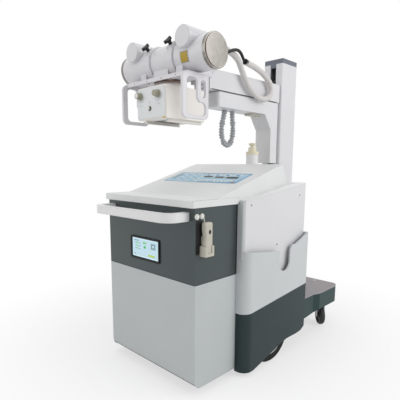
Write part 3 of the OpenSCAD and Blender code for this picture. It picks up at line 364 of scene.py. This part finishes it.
def putMesh(name, parts, body, smooth=True):
    # parts is a list of (points, faces, finish); they become one piece that rides on the body
    points, faces, marks, used = [], [], [], []
    start = 0
    for pts, fcs, finish in parts:
        if finish not in used:
            used.append(finish)
        points.append(np.asarray(pts, float).reshape(-1, 3))
        faces.extend([tuple(int(i) + start for i in f) for f in fcs])
        marks.extend([used.index(finish)] * len(fcs))
        start += len(points[-1])
    mesh = bpy.data.meshes.new(name)
    mesh.from_pydata(np.concatenate(points).tolist(), [], faces)
    mesh.polygons.foreach_set("material_index", np.array(marks, np.int32))
    mesh.polygons.foreach_set("use_smooth", np.full(len(faces), smooth))
    for finish in used:
        mesh.materials.append(finishes[finish])
    mesh.update()
    piece = bpy.data.objects.new(name, mesh)
    bpy.context.scene.collection.objects.link(piece)
    if smooth:
        mesh.set_sharp_from_angle(angle=math.radians(40))
    if body:  # a piece that spans two bodies is left without one
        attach(piece, body)
    return piece


def gridFaces(rows, columns, closeRows=False, closeColumns=True):
    # Quads of a grid of points, rows x columns, wrapping where asked
    r = np.arange(rows if closeRows else rows - 1)
    c = np.arange(columns if closeColumns else columns - 1)
    rr, cc = np.meshgrid(r, c, indexing="ij")
    up, on = (rr + 1) % rows, (cc + 1) % columns
    quads = np.stack([rr * columns + cc, rr * columns + on, up * columns + on, up * columns + cc], -1)
    return quads.reshape(-1, 4).tolist()


def basisFor(axis):
    # Two unit vectors square to the axis, right-handed with it
    axis = np.asarray(axis, float) / np.linalg.norm(axis)
    helper = np.array([0, 0, 1.0]) if abs(axis[2]) < 0.9 else np.array([1.0, 0, 0])
    u = np.cross(helper, axis)
    u /= np.linalg.norm(u)
    return u, np.cross(axis, u), axis


def turned(profile, centre, axis, finish, sides=40):
    # Surface of revolution: each profile point (radius, height) is carried round the axis
    u, v, w = basisFor(axis)
    prof = np.asarray(profile, float)
    a = np.linspace(0, 2 * np.pi, sides, endpoint=False)
    ring = np.cos(a)[:, None] * u + np.sin(a)[:, None] * v
    pts = np.asarray(centre) + prof[:, None, :1] * ring[None] + prof[:, None, 1:] * w
    faces = gridFaces(len(prof), sides)
    pts = pts.reshape(-1, 3)
    last = (len(prof) - 1) * sides
    if prof[0, 0] > 1e-7:
        faces.append(list(range(sides))[::-1])
    if prof[-1, 0] > 1e-7:
        faces.append([last + i for i in range(sides)])
    return pts, faces, finish


def smoothPath(points, count, steps=24):
    # Catmull-Rom curve through the points, resampled to equal steps; returned with its length
    p = np.asarray(points, float)
    p = np.concatenate([[2 * p[0] - p[1]], p, [2 * p[-1] - p[-2]]])
    t = np.linspace(0, 1, steps, endpoint=False)[:, None]
    out = []
    for i in range(1, len(p) - 2):
        a, b, c, d = p[i - 1:i + 3]
        out.append(0.5 * (2 * b + (c - a) * t + (2 * a - 5 * b + 4 * c - d) * t**2
                          + (3 * b - a - 3 * c + d) * t**3))
    line = np.concatenate(out + [p[-2][None]])
    step = np.concatenate([[0], np.cumsum(np.linalg.norm(np.diff(line, axis=0), axis=1))])
    at = np.linspace(0, step[-1], count)
    return np.stack([np.interp(at, step, line[:, k]) for k in range(3)], 1), step[-1]


def sweptTube(path, radii, finish, sides=16):
    # Tube along a path: a circle of each radius in the plane square to the path, without twist
    p = np.asarray(path, float)
    d = np.gradient(p, axis=0)
    d /= np.linalg.norm(d, axis=1)[:, None]
    u = np.zeros_like(p)
    u[0] = basisFor(d[0])[0]
    for i in range(1, len(p)):
        u[i] = u[i - 1] - d[i] * (u[i - 1] @ d[i])
        u[i] /= np.linalg.norm(u[i])
    v = np.cross(d, u)
    a = np.linspace(0, 2 * np.pi, sides, endpoint=False)
    r = np.asarray(radii, float)[:, None, None]
    pts = p[:, None] + r * (np.cos(a)[None, :, None] * u[:, None] + np.sin(a)[None, :, None] * v[:, None])
    faces = gridFaces(len(p), sides)
    last = (len(p) - 1) * sides
    faces += [list(range(sides))[::-1], [last + i for i in range(sides)]]
    return pts.reshape(-1, 3), faces, finish


def roundedOutline(width, height, radius, steps=5):
    # Rectangle about the origin with quarter circles at its corners, anticlockwise
    a = np.linspace(0, np.pi / 2, steps + 1)
    x, y = width / 2 - radius, height / 2 - radius
    corners = [(x, y, 0), (-x, y, 1), (-x, -y, 2), (x, -y, 3)]
    return np.concatenate([np.stack([cx + radius * np.cos(a + k * np.pi / 2),
                                     cy + radius * np.sin(a + k * np.pi / 2)], 1) for cx, cy, k in corners])


def plate(outline, origin, across, up, thick, finish, ease=0.0008):
    # Flat outline raised along its normal by thick, its top edge eased inwards by ease
    o, x, y = (np.asarray(k, float) for k in (origin, across, up))
    x, y = x / np.linalg.norm(x), y / np.linalg.norm(y)
    n = np.cross(x, y)
    flat = np.asarray(outline, float)
    middle = flat.mean(0)
    size = np.abs(flat - middle).max()
    inner = middle + (flat - middle) * (1 - ease / size)
    count = len(flat)
    levels = [(flat, 0.0), (flat, max(thick - ease, thick * 0.4)), (inner, thick)]
    pts = np.concatenate([o + q[:, :1] * x + q[:, 1:] * y + n * h for q, h in levels])
    faces = gridFaces(3, count)
    faces += [list(range(count))[::-1], [2 * count + i for i in range(count)]]
    return pts, faces, finish


def rectPlate(centre, across, up, width, height, thick, finish, radius=0.001, ease=0.0005):
    return plate(roundedOutline(width, height, min(radius, 0.499 * min(width, height))), centre, across, up,
                 thick, finish, ease)


screwPlan = {"flat": 0.45, "socket": 0.42, "sunk": 0.0005}  # shares of the radius, then metres


def screwHead(centre, axis, radius, finish="screwSteel", height=0.0022):
    # Domed head with a hex socket: the dome is a revolved arc, the socket a dark six-sided disc of painted
    # shade
    arc = np.linspace(0, np.pi / 2, 6)[:-1]
    dome = np.stack([radius * np.cos(arc), height * np.sin(arc)], 1)
    top = [[radius * screwPlan["flat"], height], [0.0, height]]
    dome = np.concatenate([[[radius, -screwPlan["sunk"]]], dome, top])
    u, v, w = basisFor(axis)
    a = np.arange(6) * np.pi / 3
    hexagon = np.stack([np.cos(a), np.sin(a)], 1) * radius * screwPlan["socket"]
    # the black disc is painted shade in the socket's hollow
    socket = plate(hexagon, np.asarray(centre) + w * (height + 0.00005), u, v, 0.0001, "blackPlastic", 0.00002)
    return [turned(dome, centre, axis, finish, 18), socket]


# Hoses and leads. The routes repeat the ones of the solids, in mm; all other sizes are in metres.

lowerHose = {
    "radius": 0.018, "rib": 0.0150, "depth": 0.0050, "crumple": 0.0022,
    "route": [(-20, y, z) for y, z in (
        (0, 1351), (0, 1342), (-6, 1318), (-15, 1288), (-22, 1255), (-22, 1222), (-13, 1190), (4, 1168),
        (27, 1160), (50, 1168), (66, 1190), (75, 1222), (77, 1255), (74, 1288), (70, 1318), (68, 1342),
        (68, 1351))],
}
upperHose = {
    "radius": 0.016, "rib": 0.0062, "depth": 0.0014, "crumple": 0.0,
    "route": [(58, -290, 1547), (58, -290, 1560), (59, -287, 1585), (63, -270, 1612), (70, -235, 1631),
              (76, -190, 1638), (79, -145, 1637), (80, -105, 1632), (80, -52, 1621), (80, -12, 1600),
              (81, 12, 1568), (83, 38, 1528), (84, 72, 1489), (84, 118, 1454), (84, 168, 1432),
              (84, 218, 1426), (84, 262, 1437), (84, 292, 1461), (83, 302, 1494), (82, 286, 1526),
              (81, 247, 1553), (81, 197, 1574), (81, 143, 1588), (82, 90, 1596), (84, 45, 1600)],
}
elbowTube = {
    "radius": 0.008, "points": 90,
    "sleeve": {"shift": (-0.0005, 0.014, -0.001), "inner": 0.008, "outer": 0.0150, "long": 0.020},
    "route": [(84, 47, 1600), (86, 34, 1603), (92, 14, 1616), (99, -12, 1631), (106, -45, 1637),
              (112, -90, 1628), (117, -145, 1604), (120, -200, 1577), (119, -240, 1552), (112, -262, 1537),
              (102, -270, 1532), (100, -270, 1532)],
}
leads = {
    "radius": 0.009, "points": 60,
    "relief": {"outer": (0.016, 0.0145, 0.013), "inner": 0.009, "long": 0.0075, "ease": 0.0015,
               "taper": 0.002, "gap": 0.0005, "pitch": 0.0078},
    "route": [(180, -345, 1587), (180, -335, 1587), (177, -318, 1588), (166, -302, 1588), (148, -294, 1586),
              (126, -291, 1581), (106, -291, 1572), (93, -291, 1560), (88, -291, 1552), (88, -291, 1547)],
}


crumpleWaves = ((7.3, 0.0), (11.9, 1.0))  # waves along a hose and where each starts, in radians


def corrugated(h, finish, sides=20):
    # Convoluted hose: the radius dips in a rounded wave once every rib along the path, and where the hose
    # is crumpled two slower waves of uneven pitch widen and narrow it
    route = np.asarray(h["route"]) / 1000
    ribs = int(smoothPath(route, 2)[1] / h["rib"])
    count = ribs * 8 + 1
    path, length = smoothPath(route, count)
    t = np.linspace(0, 1, count)
    wave = np.cos(2 * np.pi * ribs * t)
    radii = h["radius"] - h["crumple"] - h["depth"] * (0.5 - 0.5 * np.sign(wave) * np.abs(wave) ** 0.5)
    for waves, start in crumpleWaves:
        radii = radii + h["crumple"] * 0.5 * np.sin(2 * np.pi * waves * t + start)
    return sweptTube(path, radii, finish, sides), path, length


def collar(centre, axis, inner, outer, long, finish, ease=0.0008):
    # Clamping sleeve round a hose's end: a turned ring with eased corners and a groove round it
    groove = [(outer, long * 0.35), (outer - ease, long * 0.40), (outer - ease, long * 0.45),
              (outer, long * 0.50)]
    profile = [(inner, 0.0), (outer - ease, 0.0), (outer, ease)] + groove
    profile += [(outer, long - ease), (outer - ease, long), (inner, long)]
    return turned(profile, centre, axis, finish, 28)


def reliefRings(start):
    # Strain relief: rings that narrow away from the horn, each turned with one sloping edge
    r = leads["relief"]
    rings = []
    for k, outer in enumerate(r["outer"]):
        profile = [(r["inner"], 0), (outer, 0), (outer, r["long"] - r["ease"]),
                   (outer - r["taper"], r["long"]), (r["inner"], r["long"])]
        spot = start + (0, r["gap"] + k * r["pitch"], 0)
        rings.append(turned(profile, spot, (0, 1, 0), "cable", 24))
    return rings


def makeHoses():
    tube, path, length = corrugated(lowerHose, "hoseGrey")
    piece = putMesh("lowerHose", [tube], "arm")
    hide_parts("lower_hose")
    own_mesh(piece)

    tube, path, length = corrugated(upperHose, "hose")
    piece = putMesh("upperHose", [tube], None)
    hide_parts("upper_hose")
    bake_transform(piece)

    count, cuff = elbowTube["points"], elbowTube["sleeve"]
    path, length = smoothPath(np.asarray(elbowTube["route"]) / 1000, count)
    ring = collar(path[0] + cuff["shift"], path[2] - path[0], cuff["inner"], cuff["outer"], cuff["long"],
                  "cable")
    sleeve = putMesh("hoseSleeve", [ring], None)
    tube = sweptTube(path, np.full(count, elbowTube["radius"]), "cable")
    piece = putMesh("elbowTube", [tube], None)
    for part in (sleeve, piece):
        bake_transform(part)

    count = leads["points"]
    for side, name in ((1, "Right"), (-1, "Left")):
        route = np.asarray(leads["route"], float) * (side, 1, 1) / 1000
        path, length = smoothPath(route, count)
        rings = putMesh("leadRelief" + name, reliefRings(route[0]), "head")
        tube = sweptTube(path, np.full(count, leads["radius"]), "cable")
        piece = putMesh("voltageLead" + name, [tube], None)
        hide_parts("hv_leads")
        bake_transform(piece)


makeHoses()
print("hoses and leads made")


# Screen, membrane panel and small controls

screenPlan = {
    "centre": (-0.0185, -0.5745, 0.640), "size": (0.203, 0.094, 0.0006),
    "thick": 0.0002, "corner": 0.0012, "ease": 0.00005,  # of each mark
    "lift": 0.00062, "step": 0.00003,
    # x, z from the middle, width, height and finish of each mark of the picture; none of them is lettering
    "marks": [(0, 0.0435, 0.199, 0.005, "lcdPale"), (0, -0.0435, 0.199, 0.005, "lcdPale"),
              (-0.098, 0, 0.005, 0.090, "lcdPale"), (0.098, 0, 0.005, 0.090, "lcdPale"),
              (-0.068, 0.0355, 0.040, 0.004, "lcdGrey"),
              (-0.062, 0.0235, 0.018, 0.0055, "lcdGreen"), (-0.042, 0.0225, 0.008, 0.005, "lcdGrey"),
              (-0.062, 0.0090, 0.018, 0.0055, "lcdGreen"), (-0.042, 0.0080, 0.008, 0.005, "lcdGrey"),
              (-0.062, -0.0050, 0.018, 0.0055, "lcdGreen"), (-0.042, -0.0060, 0.008, 0.005, "lcdGrey"),
              (-0.076, 0.0245, 0.007, 0.003, "lcdGrey"), (-0.076, 0.0100, 0.007, 0.003, "lcdGrey"),
              (-0.076, -0.0040, 0.007, 0.003, "lcdGrey"),
              (-0.004, 0.0270, 0.029, 0.0085, "lcdGreen"), (-0.003, 0.0065, 0.016, 0.012, "lcdDeepGreen"),
              (0.062, 0.0170, 0.034, 0.028, "lcdGrey"), (0.063, 0.0175, 0.014, 0.011, "lcd"),
              (0.048, -0.0300, 0.050, 0.0085, "lcdYellow"), (-0.081, -0.0330, 0.008, 0.005, "filmOrange")],
}


def makeScreen():
    # The picture is a thin sheet, and each mark on it lies a hair above the one before
    s = screenPlan
    centre = np.array(s["centre"])
    across, up = (1, 0, 0), (0, 0, 1)
    parts = [rectPlate(centre, across, up, *s["size"], "lcd")]
    for k, (x, z, w, h, finish) in enumerate(s["marks"]):
        spot = centre + (x, -s["lift"] - s["step"] * k, z)
        parts.append(rectPlate(spot, across, up, w, h, s["thick"], finish, s["corner"], s["ease"]))
    putMesh("screenPicture", parts, "chassis", smooth=False)


membrane = {
    "origin": (0.0, -0.440, 0.898), "slopeTo": (0.080, 1.052), "offset": 0.205, "thick": 0.0015,
    "size": (0.530, 0.155), "layer": 0.0002, "corner": 0.0015, "ease": 0.00005,
    # x, y from the middle, width, height, finish and layer of each field
    "edges": [(0, 0.0700, 0.526, 0.010, "filmDark", 2), (-0.2585, 0, 0.008, 0.150, "filmGrey", 2),
              (0.2600, 0, 0.006, 0.150, "filmDark", 2), (0.1300, -0.0725, 0.262, 0.007, "filmDark", 2)],
    # pale frames round the two halves
    "frames": [(-0.125, 0.0580, 0.250, 0.006), (-0.125, -0.0680, 0.250, 0.005), (-0.2470, -0.005, 0.005, 0.126),
               (-0.0330, 0.004, 0.005, 0.120), (0.1050, 0.0580, 0.290, 0.005), (0.1100, -0.0300, 0.280, 0.004)],
    "table": {"first": (-0.195, -0.0500), "pitch": (0.0215, 0.0235), "key": (0.0165, 0.0155), "count": (8, 5)},
    # x, y from the middle, width and height of each dark readout, and how far its pale field stands out
    "readouts": [(0.010, 0.011, 0.064, 0.024), (0.094, 0.007, 0.064, 0.024), (0.182, 0.004, 0.082, 0.028)],
    "surround": 0.012,
    # rows of keys on the right half: every so many of them has the other finish
    "rowStart": -0.016,
    "rows": [
        {"y": 0.0420, "key": (0.017, 0.013), "pitch": 0.0232, "count": 11, "every": 3, "other": "filmDark"},
        {"y": -0.0420, "key": (0.017, 0.012), "pitch": 0.0232, "count": 11, "every": 4, "other": "filmPale"},
        {"y": -0.0600, "key": (0.019, 0.011), "pitch": 0.0258, "count": 9, "every": 2, "other": "filmPale"},
    ],
}


def makeMembrane():
    # Printed foil: fields, frames and keys laid on it in thin layers, all on the console's slope
    m = membrane
    run = np.array([0, m["slopeTo"][0] - m["origin"][1], m["slopeTo"][1] - m["origin"][2]])
    up = run / np.linalg.norm(run)
    across = np.array([1.0, 0, 0])
    normal = np.cross(across, up)
    middle = np.array(m["origin"]) + up * (m["offset"] + m["size"][1] / 2) + normal * m["thick"]
    parts = []

    def lay(x, y, w, h, finish, layer=3, radius=m["corner"]):
        spot = middle + across * x + up * y + normal * m["layer"] * (layer - 1)
        parts.append(rectPlate(spot, across, up, w, h, m["layer"], finish, radius, m["ease"]))

    lay(0, 0, m["size"][0] - 0.002, m["size"][1] - 0.002, "film", 1, 0.003)
    for field in m["edges"]:
        lay(*field)
    for field in m["frames"]:
        lay(*field, "filmWhite", 2)
    # grey figure field on the far left, then a table of keys
    lay(-0.2290, 0.0080, 0.026, 0.084, "filmGrey", 3, 0.004)
    (x0, y0), (dx, dy), table = m["table"]["first"], m["table"]["pitch"], m["table"]["count"]
    for i in range(table[0]):
        for j in range(table[1]):
            lay(x0 + i * dx, y0 + j * dy, *m["table"]["key"], "filmPale" if (i + 2 * j) % 3 else "film")
    for x, y, w, h in m["readouts"]:
        lay(x, y, w + m["surround"], h + m["surround"], "filmPale")
        lay(x, y, w, h, "filmBlack", 4)
    for row in m["rows"]:
        for i in range(row["count"]):
            finish = "filmWhite" if i % row["every"] else row["other"]
            lay(m["rowStart"] + i * row["pitch"], row["y"], *row["key"], finish)
    # round stop key
    lay(0.2360, -0.0590, 0.020, 0.017, "filmOrange", 3, 0.008)
    putMesh("membranePrint", parts, "chassis", smooth=False)


handSwitch = {
    "rows": 34, "corner": 0.34,
    "waist": 0.004,  # metres that the grip's rear side is drawn in
    "waistFrom": 0.25, "waistLong": 0.60,  # shares of its height
    "end": 0.16, "endRows": 14,  # its ends narrow by this share, over one part in 14 of its height
    "button": (-0.516, 0.762), "buttonSize": (0.0075, 0.0100),  # y, z and half sizes
    "sunk": 0.0007,
    "slit": {"at": (0.002, -0.010), "size": (0.010, 0.0022, 0.0006)},
    "lead": [(0.3340, -0.5280, 0.8025), (0.3345, -0.5285, 0.8080), (0.3350, -0.5300, 0.8150),
             (0.3352, -0.5310, 0.8205)],
    "leadRadius": 0.0020,
    # a dark sheet behind the switch, painted shadow of the switch on the wall
    "strip": {"centre": (0.3242, -0.5535, 0.738), "size": (0.031, 0.146, 0.0012), "corner": 0.002},
}


def makeHandSwitch():
    # Beige grip: rounded rectangles stacked along its height; the rear edge is drawn in by a sine wave
    # between the cup and the top, and both ends close with a quarter-sine
    s = handSwitch
    lo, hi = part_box("hand_switch")
    t = np.linspace(0, 1, s["rows"])
    outline = roundedOutline(2.0, 2.0, s["corner"])
    close = 1.0
    for end in (t, 1 - t):
        close = close * (1 - s["end"] * (1 - np.sin(0.5 * np.pi * np.clip(end * s["endRows"], 0, 1))))
    waist = np.sin(np.pi * np.clip((t - s["waistFrom"]) / s["waistLong"], 0, 1)) ** 2
    rear = lo[1] + s["waist"] * waist
    half = (hi[1] - rear) / 2
    pts = np.zeros((s["rows"], len(outline), 3))
    pts[:, :, 0] = (lo[0] + hi[0]) / 2 + outline[None, :, 0] * (hi[0] - lo[0]) / 2 * close[:, None]
    pts[:, :, 1] = (hi[1] + rear)[:, None] / 2 + outline[None, :, 1] * (half * close)[:, None]
    pts[:, :, 2] = (lo[2] + (hi[2] - lo[2]) * t)[:, None]
    count = len(outline)
    faces = gridFaces(s["rows"], count)
    faces += [list(range(count))[::-1], [(s["rows"] - 1) * count + i for i in range(count)]]
    parts = [(pts.reshape(-1, 3), faces, "beigePlastic")]
    # oval button on a pale rim, and a slit near the top
    (y, z), (wide, tall), face = s["button"], s["buttonSize"], hi[0] - s["sunk"]
    a = np.linspace(0, 2 * np.pi, 32, endpoint=False)
    for size, thick, finish in ((1.25, 0.0004, "plugPlastic"), (1.0, 0.0012, "displayGlass")):
        oval = np.stack([wide * size * np.cos(a), tall * size * np.sin(a)], 1)
        parts.append(plate(oval, (face, y, z), (0, 1, 0), (0, 0, 1), thick, finish, 0.0002))
    over, under = s["slit"]["at"]
    parts.append(rectPlate((face, y + over, hi[2] + under), (0, 1, 0), (0, 0, 1), *s["slit"]["size"],
                           "sandPlastic", 0.001, 0.0001))
    piece = putMesh("handSwitch", parts, "chassis")
    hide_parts("hand_switch")
    lead = smoothPath(s["lead"], 16)[0]
    stub = sweptTube(lead, np.full(16, s["leadRadius"]), "plugPlastic", 10)
    putMesh("switchLead", [stub], "chassis")
    # dark strip on the wall behind the switch: painted shadow of the switch
    strip = s["strip"]
    back = rectPlate(strip["centre"], (0, 1, 0), (0, 0, 1), *strip["size"], "blackPlastic", strip["corner"])
    putMesh("switchShadowStrip", [back], "chassis", smooth=False)


makeScreen()
makeMembrane()
makeHandSwitch()
print("screen, membrane and hand switch made")


# Tube head details

tubeEnd = {
    "disc": [(0.0685, -0.0030), (0.0685, 0.0), (0.0675, 0.0008), (0.0, 0.0010)], "sunk": 0.0010,
    # angles of the band's screws in degrees, how far out and how far from the end they stand, their sizes
    "screwAt": (176, -4), "screwOut": 0.0740, "screwIn": 0.016, "screw": (0.0040, 0.0008),
}


def makeTubeFaces():
    # Matt disc on each end of the tube, and a small dark screw through each steel band
    e = tubeEnd
    parts, bolts = [], []
    lo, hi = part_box("tube_caps")
    y, z = (lo[1] + hi[1]) / 2, (lo[2] + hi[2]) / 2
    for side in (1, -1):
        middle = (side * (hi[0] - e["sunk"]), y, z)
        parts.append(turned(e["disc"], middle, (side, 0, 0), "tubeFace", 72))
        for a in np.radians(e["screwAt"]):
            out = np.array([0, math.cos(a), math.sin(a)])
            spot = np.array([side * (hi[0] - e["screwIn"]), y, z]) + e["screwOut"] * out
            bolts += screwHead(spot, out, e["screw"][0], "blackPlastic", e["screw"][1])
    putMesh("tubeFaces", parts, "head")
    putMesh("tubeBandScrews", bolts, "head")


signPlate = {
    "axis": (-0.422, 1.525), "radius": 0.0752, "x": (0.148, 0.197), "turn": (176, 213),
    "thick": 0.0010, "rim": 0.0035, "proud": 0.0003,
}


def bentPlate(x, turn, radius, finish):
    # Plate bent to the tube's curve: a patch of a cylinder about the tube's axis, raised by its thickness
    cy, cz = signPlate["axis"]
    along, angle = np.meshgrid(np.linspace(*x, 12), np.radians(np.linspace(*turn, 18)), indexing="ij")
    layers = [np.stack([along, cy + r * np.cos(angle), cz + r * np.sin(angle)], -1).reshape(-1, 3)
              for r in (radius, radius - signPlate["thick"])]
    rows, columns = along.shape
    top = gridFaces(rows, columns, False, False)
    base = [tuple(i + rows * columns for i in f[::-1]) for f in top]
    grid = np.arange(rows * columns).reshape(rows, columns)
    edge = np.concatenate([grid[0, :-1], grid[:-1, -1], grid[-1, :0:-1], grid[:0:-1, 0]])
    on = np.roll(edge, -1)
    rim = np.stack([edge, edge + grid.size, on + grid.size, on], 1).tolist()
    return np.concatenate(layers), top + base + rim, finish


def makeSignPlate():
    # Blank yellow plate on a grey rim
    s = signPlate
    lean = math.degrees(s["rim"] / s["radius"])
    (x0, x1), (a0, a1) = s["x"], s["turn"]
    parts = [bentPlate(s["x"], s["turn"], s["radius"], "scaleInk"),
             bentPlate((x0 + s["rim"], x1 - s["rim"]), (a0 + lean, a1 - lean), s["radius"] + s["proud"],
                       "signPlate")]
    putMesh("signPlate", parts, "head")


collimatorPlan = {
    "front": -0.5440,
    "knobs": [(-0.074, 1.362), (0.055, 1.362)], "knobCaps": ("plugPlastic", "sandPlastic"),
    # round each knob: radius, length and width of the bars, and how many stand between the two angles
    "scale": [(0.0215, 0.0060, 0.0007, 12), (0.0260, 0.0070, 0.0007, 12), (0.0300, 0.0008, 0.0040, 9)],
    "scaleTurn": (195, 345),
    "dots": [(-0.072, 1.318), (0.060, 1.318), (-0.006, 1.330)],
    "dot": [(0.0026, -0.0004), (0.0026, 0.0004), (0, 0.0005)],
    "screwX": (-0.091, 0.091), "screwZ": (1.266, 1.386), "screw": (0.0028, 0.0012),
    "button": (-0.006, 1.302),
    "buttonCollar": [(0.0082, -0.001), (0.0105, -0.001), (0.0105, 0.0018), (0.0082, 0.0026)],
    "buttonCap": [(0.0, -0.0008), (0.0066, -0.0006), (0.0072, 0.0), (0.0072, 0.0010)], "buttonOut": 0.0090,
    "knobCap": [(0, -0.0010), (0.0105, -0.0008), (0.0115, 0.0), (0.0115, 0.002)], "capSunk": 0.0004,
    "tag": {"centre": (0.090, -0.5402, 1.2560), "size": (0.022, 0.005, 0.0008)},
    # height, length, width, finish and corner of the window's frame and its sheet
    "window": [(1.2530, 0.180, 0.124, "plugPlastic", 0.004), (1.2520, 0.164, 0.108, "displayGlass", 0.003)],
    "windowAt": (0, -0.402), "windowThick": 0.0010,
    "ring": [(0.0735, 0), (0.0762, 0), (0.0770, 0.0010), (0.0770, 0.0110), (0.0762, 0.0120), (0.0735, 0.0120)],
    "ringAt": (0, -0.422, 1.4222),
    "flangeX": (-0.150, -0.052, 0.052, 0.150), "flangeAt": (-0.523, 1.4320), "flangeScrew": (0.0034, 0.0012),
}


def makeCollimatorDetail():
    c = collimatorPlan
    y = c["front"]
    rearward, forward = (0, -1, 0), (0, 1, 0)
    # below each knob two fine arcs and short ticks across them, as short bars set on circles
    parts = []
    for cx, cz in c["knobs"]:
        for radius, long, wide, count in c["scale"]:
            for a in np.radians(np.linspace(*c["scaleTurn"], count)):
                dx, dz = math.cos(a), math.sin(a)
                spot = (cx + radius * dx, y, cz + radius * dz)
                parts.append(rectPlate(spot, (-dz, 0, dx), (-dx, 0, -dz), long, wide, 0.0003, "scaleInk",
                                       0.0003, 0.0001))
    for cx, cz in c["dots"]:
        parts.append(turned(c["dot"], (cx, y, cz), rearward, "scaleInk", 16))
    for cx in c["screwX"]:
        for cz in c["screwZ"]:
            parts += screwHead((cx, y, cz), rearward, c["screw"][0], "plugPlastic", c["screw"][1])
    putMesh("collimatorPrint", parts, "light_box")
    # lamp button: a white cap in a black collar
    x, z = c["button"]
    button = [turned(c["buttonCollar"], (x, y, z), rearward, "blackPlastic", 32)]
    putMesh("lampButtonCollar", button, "light_box")
    # end caps on the two knobs, and the button's
    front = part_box("collimator_knobs")[0][1] + c["capSunk"]
    caps = [turned(c["knobCap"], (cx, front, cz), forward, finish, 28)
            for (cx, cz), finish in zip(c["knobs"], c["knobCaps"])]
    caps.append(turned(c["buttonCap"], (x, y - c["buttonOut"], z), forward, "plugPlastic", 28))
    putMesh("knobEndCaps", caps, "light_box")
    tag = [rectPlate(c["tag"]["centre"], (1, 0, 0), (0, 0, 1), *c["tag"]["size"], "signYellow")]
    putMesh("collimatorTag", tag, "light_box")
    # window under the collimator, between the rails: a smoked sheet in a pale frame
    window = [rectPlate((*c["windowAt"], z), (0, 1, 0), (1, 0, 0), long, wide, c["windowThick"], finish, corner)
              for z, long, wide, finish, corner in c["window"]]
    putMesh("beamWindow", window, "light_box")
    # bronze ring round the fixed half of the turntable, and screws along the cradle's flange
    ring = [turned(c["ring"], c["ringAt"], (0, 0, 1), "ringMetal", 72)]
    putMesh("turntableRing", ring, "head")
    screws = []
    for x in c["flangeX"]:
        screws += screwHead((x, *c["flangeAt"]), rearward, c["flangeScrew"][0], height=c["flangeScrew"][1])
    putMesh("flangeScrews", screws, "head")


makeTubeFaces()
makeSignPlate()
makeCollimatorDetail()
print("tube head details made")


# Screws, seams and small trim on the body

coverScrews = {
    "places": [(-0.235, 0.858), (0.203, 0.884), (-0.005, 0.638)], "x": 0.361, "radius": 0.0055,
    "platform": [(0.239, 0.663), (-0.239, 0.663)], "platformSize": (0.008, 0.004),
}


def makeCoverScrews():
    c = coverScrews
    for side, name in ((1, "Right"), (-1, "Left")):
        parts = []
        for y, z in c["places"]:
            parts += screwHead((side * c["x"], y, z), (side, 0, 0), c["radius"])
        putMesh("coverScrews" + name, parts, "chassis")
    top = []
    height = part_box("platform_cover")[1][2]
    for x, y in c["platform"]:
        top += screwHead((x, y, height), (0, 0, 1), c["platformSize"][0], "plugPlastic", c["platformSize"][1])
    putMesh("platformScrews", top, "chassis")


seams = {
    "side": 0.3242, "back": -0.5742,  # x and y of the band's faces
    # the strip at the upper edge is painted shadow under the console's lip
    "edges": (0.5275, 0.8640),  # heights of its two edges
    "shell": {"at": (-0.2955, 0.696), "size": (0.006, 0.334, 0.0006)},
    "bandSide": {"y": -0.434, "size": (0.270, 0.0022, 0.0004)}, "bandBack": (0.640, 0.0022, 0.0004),
    "arm": {"at": (0.0562, 0.110, 1.4325), "size": (0.600, 0.0035, 0.0005)}, "corner": 0.0005,
}


def makeSeams():
    # Black strips: between band and shells, along the band's two edges and under the upper arm. The one along
    # the band's top edge is painted shadow in the gap under the console's lip.
    s = seams
    parts, arm = [], []

    def strip(pieces, centre, across, size):
        pieces.append(rectPlate(centre, across, (0, 0, 1), *size, "blackPlastic", s["corner"]))

    for side in (1, -1):
        x = side * s["side"]
        strip(parts, (x, *s["shell"]["at"]), (0, side, 0), s["shell"]["size"])
        for z in s["edges"]:
            strip(parts, (x, s["bandSide"]["y"], z), (0, side, 0), s["bandSide"]["size"])
        ax, ay, az = s["arm"]["at"]
        strip(arm, (side * ax, ay, az), (0, side, 0), s["arm"]["size"])
    for z in s["edges"]:
        strip(parts, (0, s["back"], z), (1, 0, 0), s["bandBack"])
    putMesh("seamAndShadowStrips", parts, "chassis", smooth=False)
    putMesh("armSeamLines", arm, "arm", smooth=False)


treads = {
    "count": 48, "sunk": 0.0006, "long": 0.0135, "thick": 0.0005,
    "across": 0.62,  # share of the tyre's width
    "bolts": 5, "boltCircle": 0.030, "boltSunk": 0.0040, "bolt": (0.0060, 0.0035),
}


def makeTreads():
    # Tread blocks round each drive tyre, one shape repeated round the axle, and bolts on each rim
    t = treads
    for side, name in ((1, "right"), (-1, "left")):
        lo, hi = (np.array(corner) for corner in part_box("tyre_" + name))
        axle, radius, wide = (lo + hi) / 2, (hi[2] - lo[2]) / 2, hi[0] - lo[0]
        parts = []
        for a in np.radians(np.arange(t["count"]) * 360 / t["count"]):
            out = np.array([0, math.cos(a), math.sin(a)])
            parts.append(rectPlate(axle + out * (radius - t["sunk"]), (1, 0, 0), np.cross(out, (1, 0, 0)),
                                   wide * t["across"], t["long"], t["thick"], "tyreRubber", 0.002, 0.0003))
        putMesh("tyreTread" + name.capitalize(), parts, "wheel_" + name, smooth=False)
        rimLo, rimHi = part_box("rim_" + name)
        face = (rimHi[0] if side > 0 else rimLo[0]) - side * t["boltSunk"]
        bolts = []
        for a in np.radians(90 + 360 / t["bolts"] * np.arange(t["bolts"])):
            spot = (face, axle[1] + t["boltCircle"] * math.cos(a), axle[2] + t["boltCircle"] * math.sin(a))
            bolts += screwHead(spot, (side, 0, 0), t["bolt"][0], "bareSteel", t["bolt"][1])
        putMesh("rimBolts" + name.capitalize(), bolts, "wheel_" + name)


makeCoverScrews()
makeSeams()
makeTreads()
print("trim made")
